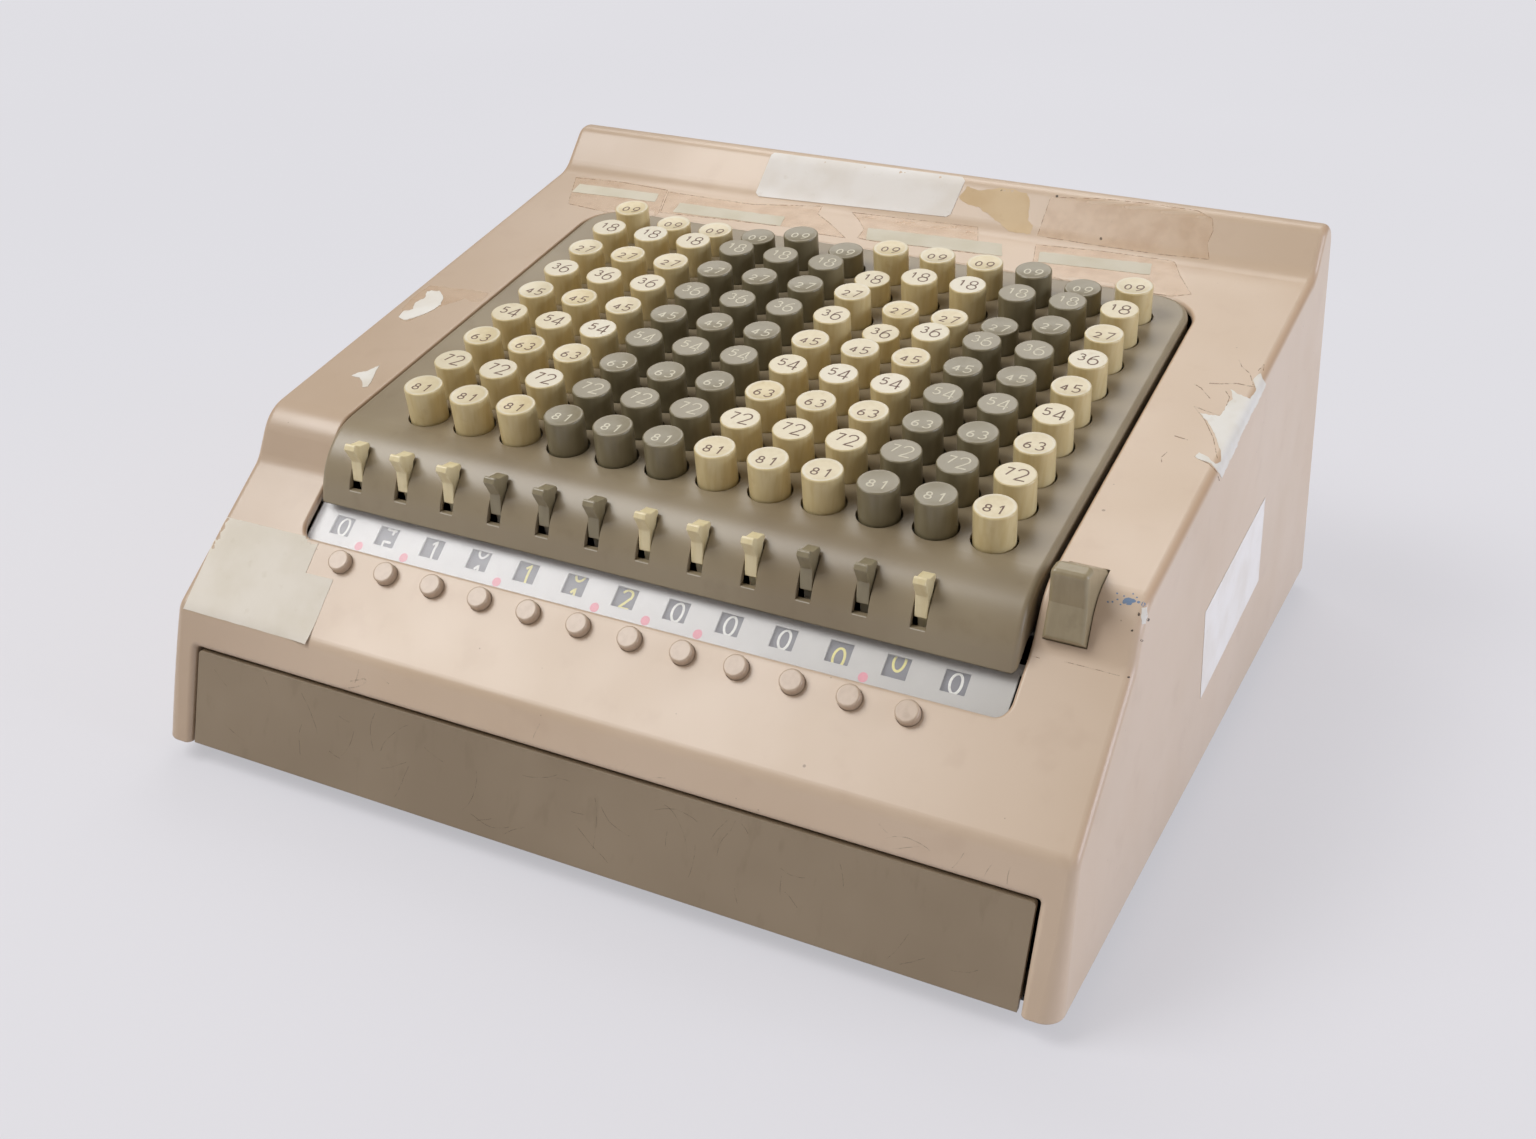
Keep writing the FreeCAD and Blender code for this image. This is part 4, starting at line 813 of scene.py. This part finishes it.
GUM_LINES = ([(1193.9, 406.3), (1205.1, 420.6), (1213.3, 438), (1217.3, 458.4)],
             [(1193.9, 406.3), (1207.1, 411.4), (1220.4, 416), (1225.5, 409.4)],
             [(1193.9, 383.9), (1201, 388), (1210.2, 398.7)],
             [(1209.2, 383.4), (1221.4, 383.9), (1236.7, 383.4), (1248, 385.9), (1255.1, 386.9)],
             [(1238.8, 359.4), (1241.8, 366.5), (1250, 373.7), (1253.1, 384.9)],
             [(1174.5, 435.9), (1187.8, 440)], [(1167.3, 452.2), (1161.2, 457.3), (1161.7, 462.4)],
             [(1193.9, 456.3), (1199, 458.9), (1209.2, 464), (1216.3, 471.6), (1219.4, 480.8)],
             [(1225.5, 391), (1229.6, 397.1), (1225, 410.4)], [(1249, 397.1), (1251, 401.2)],
             [(1258.2, 370.6), (1264.3, 364.5), (1263.3, 370.6)])
SEAM_LINES = ([(1027.6, 655.3), (1034.4, 656.7), (1039.6, 658.2)],
              [(1064.3, 661.6), (1082.7, 666.2), (1097.6, 670), (1119.4, 675.9)])
FACE_SCRATCH = ([(350.5, 681.2), (357.4, 680.1), (364.3, 678.4), (366.8, 681.2), (363.1, 684.7),
                 (355.1, 687.3), (348.2, 688.1)],)
BLUE_FLECKS = ((1128.6, 600.2, 11, 5.5), (1124.5, 601.8, 5, 4), (1133.5, 601, 5, 4.5), (1129, 603.6, 6, 3),
               (1143.5, 604.2, 5, 4.5), (1138.5, 602.2, 3.5, 2.6), (1107.9, 601.9, 2.0, 2.0),
               (1112.5, 601.9, 2.2, 2.0), (1117.1, 593.3, 2.2, 1.8), (1133.2, 593.9, 2.0, 1.8),
               (1117.5, 599.5, 2.2, 1.8), (1120.5, 604.5, 2, 1.6), (1137, 597.5, 2, 1.6),
               (1124, 596, 2, 1.6))
DARK_FLECKS = ((1148.1, 619.7, 3, 4), (1141.8, 640.4, 3, 3), (1132, 630.6, 2.4, 2.4),
               (1138.9, 614.5, 2.4, 4), (1128.6, 677.1, 3, 2), (1101, 238.8, 3, 3), (1001, 189.8, 3, 2.4),
               (1057, 196.1, 2.6, 2.4))
PALE_CHIP = [(1141.4, 608), (1146.5, 607.3), (1147.9, 615.1), (1145.8, 623.8), (1141.8, 624.5),
             (1141, 617.4)]


def wear_on_casing():
    """Blank labels, torn paper, browned tape, lines of grime and flecks, all on the casing."""
    skin = skin_of("outer_casing")
    lay_sheet("front_label", skin, FRONT_LABEL, "cream_paper", ragged=0.12, curl=FRONT_LABEL_CURL)
    lay_sheet("hump_label", skin, HUMP_LABEL, "paper", thick=0.25 * MM)
    lay_sheet("side_label", skin, SIDE_LABEL, "paper", ragged=0.1)
    for index, outline in enumerate(STRIPS, 1):
        lay_sheet(f"strip_label_{index}", skin, outline, "strip_paper", ragged=0.2)
    lay_sheet("torn_label_right", skin, TORN_RIGHT, "torn_paper", ragged=0.6, grid=2.0)
    lay_sheet("torn_label_left", skin, TORN_LEFT, "torn_paper", ragged=0.6)
    lay_sheet("torn_label_corner", skin, TORN_CORNER, "torn_paper", ragged=0.5)
    lay_sheet("old_tape_left", skin, TAPE_LEFT, "tape", thick=TAPE_THICKNESS, ragged=0.4)
    for index, outline in enumerate(TAPES, 1):
        lay_sheet(f"old_tape_{index}", skin, outline, "tape", thick=TAPE_THICKNESS, ragged=0.25)
    lay_sheet("torn_tape", skin, TORN_TAPE, "tan_paper", thick=TAPE_THICKNESS, ragged=0.8)
    draw_lines("gum_lines", skin, GUM_LINES, 0.9, "brown_line")
    draw_lines("tape_edges", skin, [outline + outline[:1] for outline in TAPES], 0.7, "brown_line")
    draw_lines("seam_lines", skin, SEAM_LINES, 0.7, "brown_line")
    draw_lines("face_scratch", skin, FACE_SCRATCH, 1.2, "fine_scratch")
    draw_flecks("blue_flecks", skin, BLUE_FLECKS, "blue_speck")
    draw_flecks("dark_flecks", skin, DARK_FLECKS, "dark_speck")
    lay_sheet("pale_chip", skin, PALE_CHIP, "torn_paper", thick=TAPE_THICKNESS, ragged=0.4, grid=1.5)


def curl_strokes(builder, place, region, count, dice):
    """Short curly scratches scattered over a region (x from, x to, z from, z to)."""
    left, right, low, high = region
    for _ in range(count):
        spot = Vector((dice.uniform(left, right), dice.uniform(low, high)))
        heading = dice.uniform(0, 2 * math.pi)
        bend = dice.uniform(-1, 1) * SCRATCH_BEND
        points = [spot]
        for _ in range(int(dice.uniform(0.25, 1) * SCRATCH_LONGEST / (SCRATCH_STEP * MM))):
            heading += bend * SCRATCH_STEP * MM + dice.uniform(-SCRATCH_WOBBLE, SCRATCH_WOBBLE)
            spot = points[-1] + Vector((math.cos(heading), math.sin(heading))) * SCRATCH_STEP * MM
            if not (left < spot.x < right and low < spot.y < high):
                break
            points.append(spot)
        if len(points) > 3:
            add_stroke(builder, points, SCRATCH_WIDTH, place)


def from_front(skin):
    """A place function for points (x, z) looked at squarely from the front."""
    def place(x, z, above):
        spot, normal, _, _ = skin.ray_cast(Vector((x, -1, z)), Vector((0, 1, 0)))
        return spot + normal * above
    return place


def scuffs():
    """Fine curly scratches on the front panel and on the casing above it."""
    for name, node, slot, region, count in (
            ("panel_scratches", "front_panel", "panel_paint", (-150 * MM, 150 * MM, 11 * MM, 39 * MM), 42),
            ("face_scratches", "outer_casing", "casing_paint", (-148 * MM, 148 * MM, 44 * MM, 52 * MM), 14)):
        builder = bmesh.new()
        place = from_front(skin_of(node))
        curl_strokes(builder, place, region, count, random.Random(name))
        finish_piece(name, builder, "fine_scratch", "root")


def slot_lip_highlights():
    """Painted highlights: bright lines along the lower edges of the tab slots, where the edges catch the
    light.
    """
    builder = bmesh.new()
    place = from_front(skin_of("keyboard_cover"))
    for column in range(COLUMNS):
        middle = FIRST_TAB_X + COLUMN_PITCH * column
        lip = [Vector((middle + x * TAB_SLOT_WIDTH, LIP_Z)) for x in (-0.45, 0, 0.45)]
        add_stroke(builder, lip, LIP_WIDTH, place)
    finish_piece("slot_lip_highlights", builder, "lip_highlight", "root")


def stage_floor():
    """Plain pale floor, even to the camera and in reflections, with the object's soft shadow on it."""
    floor_material, tree, place = new_material("pale_floor")
    colour = tinted(tree, BACKDROP, [(blotches(tree, place, 900, 0.3, 0.7), FLOOR_SHADE)])
    matt = add(tree, "ShaderNodeBsdfDiffuse", {"Color": colour})
    even = add(tree, "ShaderNodeEmission", {"Color": colour, "Strength": 1.0})
    away = add(tree, "ShaderNodeVectorMath", {0: place}, operation="LENGTH").outputs["Value"]
    evenness = add(tree, "ShaderNodeMapRange", {
        "Value": away, "From Min": EVEN_NEAR[0], "To Min": EVEN_NEAR[1], "From Max": EVEN_FAR[0],
        "To Max": EVEN_FAR[1]}, interpolation_type="SMOOTHSTEP").outputs["Result"]
    rays = add(tree, "ShaderNodeLightPath").outputs
    seen = rays["Is Camera Ray"]
    for ray in ("Is Glossy Ray", "Is Transmission Ray"):
        seen = add(tree, "ShaderNodeMath", {0: seen, 1: rays[ray]}, operation="MAXIMUM").outputs[0]
    evened = add(tree, "ShaderNodeMath", {0: seen, 1: evenness}, operation="MULTIPLY").outputs[0]
    mix = add(tree, "ShaderNodeMixShader", {0: evened, 1: matt.outputs[0], 2: even.outputs[0]})
    add(tree, "ShaderNodeOutputMaterial", {"Surface": mix.outputs[0]})
    builder = bmesh.new()
    bmesh.ops.create_grid(builder, x_segments=1, y_segments=1, size=FLOOR_REACH)
    mesh = bpy.data.meshes.new("floor")
    builder.to_mesh(mesh)
    builder.free()
    mesh.materials.append(floor_material)
    floor = bpy.data.objects.new("floor", mesh)
    bpy.context.scene.collection.objects.link(floor)


def soft_box(name, at, size, power, colour="#FFFFFF"):
    """A rectangular lamp at a place, turned to the object."""
    light = bpy.data.lights.new(name, "AREA")
    light.shape = "RECTANGLE"
    light.size = size[0]
    light.size_y = size[1]
    light.energy = power
    light.color = linear(colour)[:3]
    lamp = bpy.data.objects.new(name, light)
    lamp.location = at
    lamp.rotation_euler = (LIT_POINT - Vector(at)).to_track_quat("-Z", "Y").to_euler()
    bpy.context.scene.collection.objects.link(lamp)


def studio():
    """Soft boxes high in front and behind on the left, a broad fill from the right, and an even room."""
    world = bpy.data.worlds.new("studio")
    bpy.context.scene.world = world
    world.use_nodes = True
    tree = world.node_tree
    tree.nodes.clear()
    rays = add(tree, "ShaderNodeLightPath").outputs
    seen = add(tree, "ShaderNodeMapRange", {"Value": rays["Is Camera Ray"], "To Min": ROOM_LIGHT,
                                            "To Max": 1.0})
    tone = tinted(tree, ROOM_TONE, [(rays["Is Camera Ray"], BACKDROP)])
    room = add(tree, "ShaderNodeBackground", {"Color": tone, "Strength": seen.outputs["Result"]})
    add(tree, "ShaderNodeOutputWorld", {"Surface": room.outputs[0]})
    soft_box("key_soft_box", (-1.02, -0.70, 1.62), (1.1, 1.1), 25.5)
    soft_box("rear_soft_box", (-0.45, 1.00, 1.30), (1.0, 0.8), 6.5)
    soft_box("side_fill", (1.6, 0.20, 0.50), (1.0, 0.8), 15.0, "#E8EEFF")


def camera():
    """The camera that took the photograph, as solved."""
    lens = bpy.data.cameras.new("camera")
    lens.lens = CAMERA_LENS
    lens.sensor_width = CAMERA_SENSOR
    lens.clip_start = 0.01
    eye = bpy.data.objects.new("camera", lens)
    eye.matrix_world = Matrix.Translation(CAMERA_AT) @ camera_turn().to_4x4()
    bpy.context.scene.collection.objects.link(eye)
    bpy.context.scene.camera = eye


def dress_cad_nodes():
    """Gives every CAD node its finish."""
    plain = {"outer_casing": "casing", "keyboard_cover": "cover", "front_panel": "panel",
             "base_plate": "base", "display_window": "window", "dial_mask": "dial_plate",
             "rubber_feet": "rubber", "clear_key": "clear_key", "decimal_pegs": "peg"}
    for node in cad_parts:
        if node in plain:
            paint_node(node, plain[node])
        elif node.startswith("keys_column"):
            paint_node(node, "olive" if int(node[-2:]) in OLIVE_COLUMNS else "cream")
        elif node.startswith("tabs"):
            paint_node(node, "tab_olive" if int(node[5:7]) in OLIVE_COLUMNS else "tab_cream")
        elif node.startswith("number_wheel"):
            paint_node(node, "wheel")
        else:
            paint_node(node, "steel")


def window_strip():
    """The window over the dials, a hair thinner than the strip it stands for, so that its lower face clears
    the dial plate that it lies on."""
    builder = bmesh.new()
    builder.from_mesh(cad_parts["display_window"].data)
    upwards = Vector((0, -math.sin(APRON_SLOPE), math.cos(APRON_SLOPE)))
    heights = [vertex.co.dot(upwards) for vertex in builder.verts]
    middle = (min(heights) + max(heights)) / 2
    for vertex in builder.verts:
        if vertex.co.dot(upwards) < middle:
            vertex.co += upwards * WINDOW_CLEARANCE
    strip = finish_piece("window_strip", builder, "window", "root")
    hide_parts("display_window")


camera()
studio()
stage_floor()
dress_cad_nodes()
window_strip()
for column in range(1, COLUMNS + 1):
    key_digits(column)
for index in range(1, WHEELS + 1):
    wheel_digits(index)
dial_marks()
wear_on_casing()
scuffs()
slot_lip_highlights()

bpy.context.scene.view_settings.view_transform = "Standard"
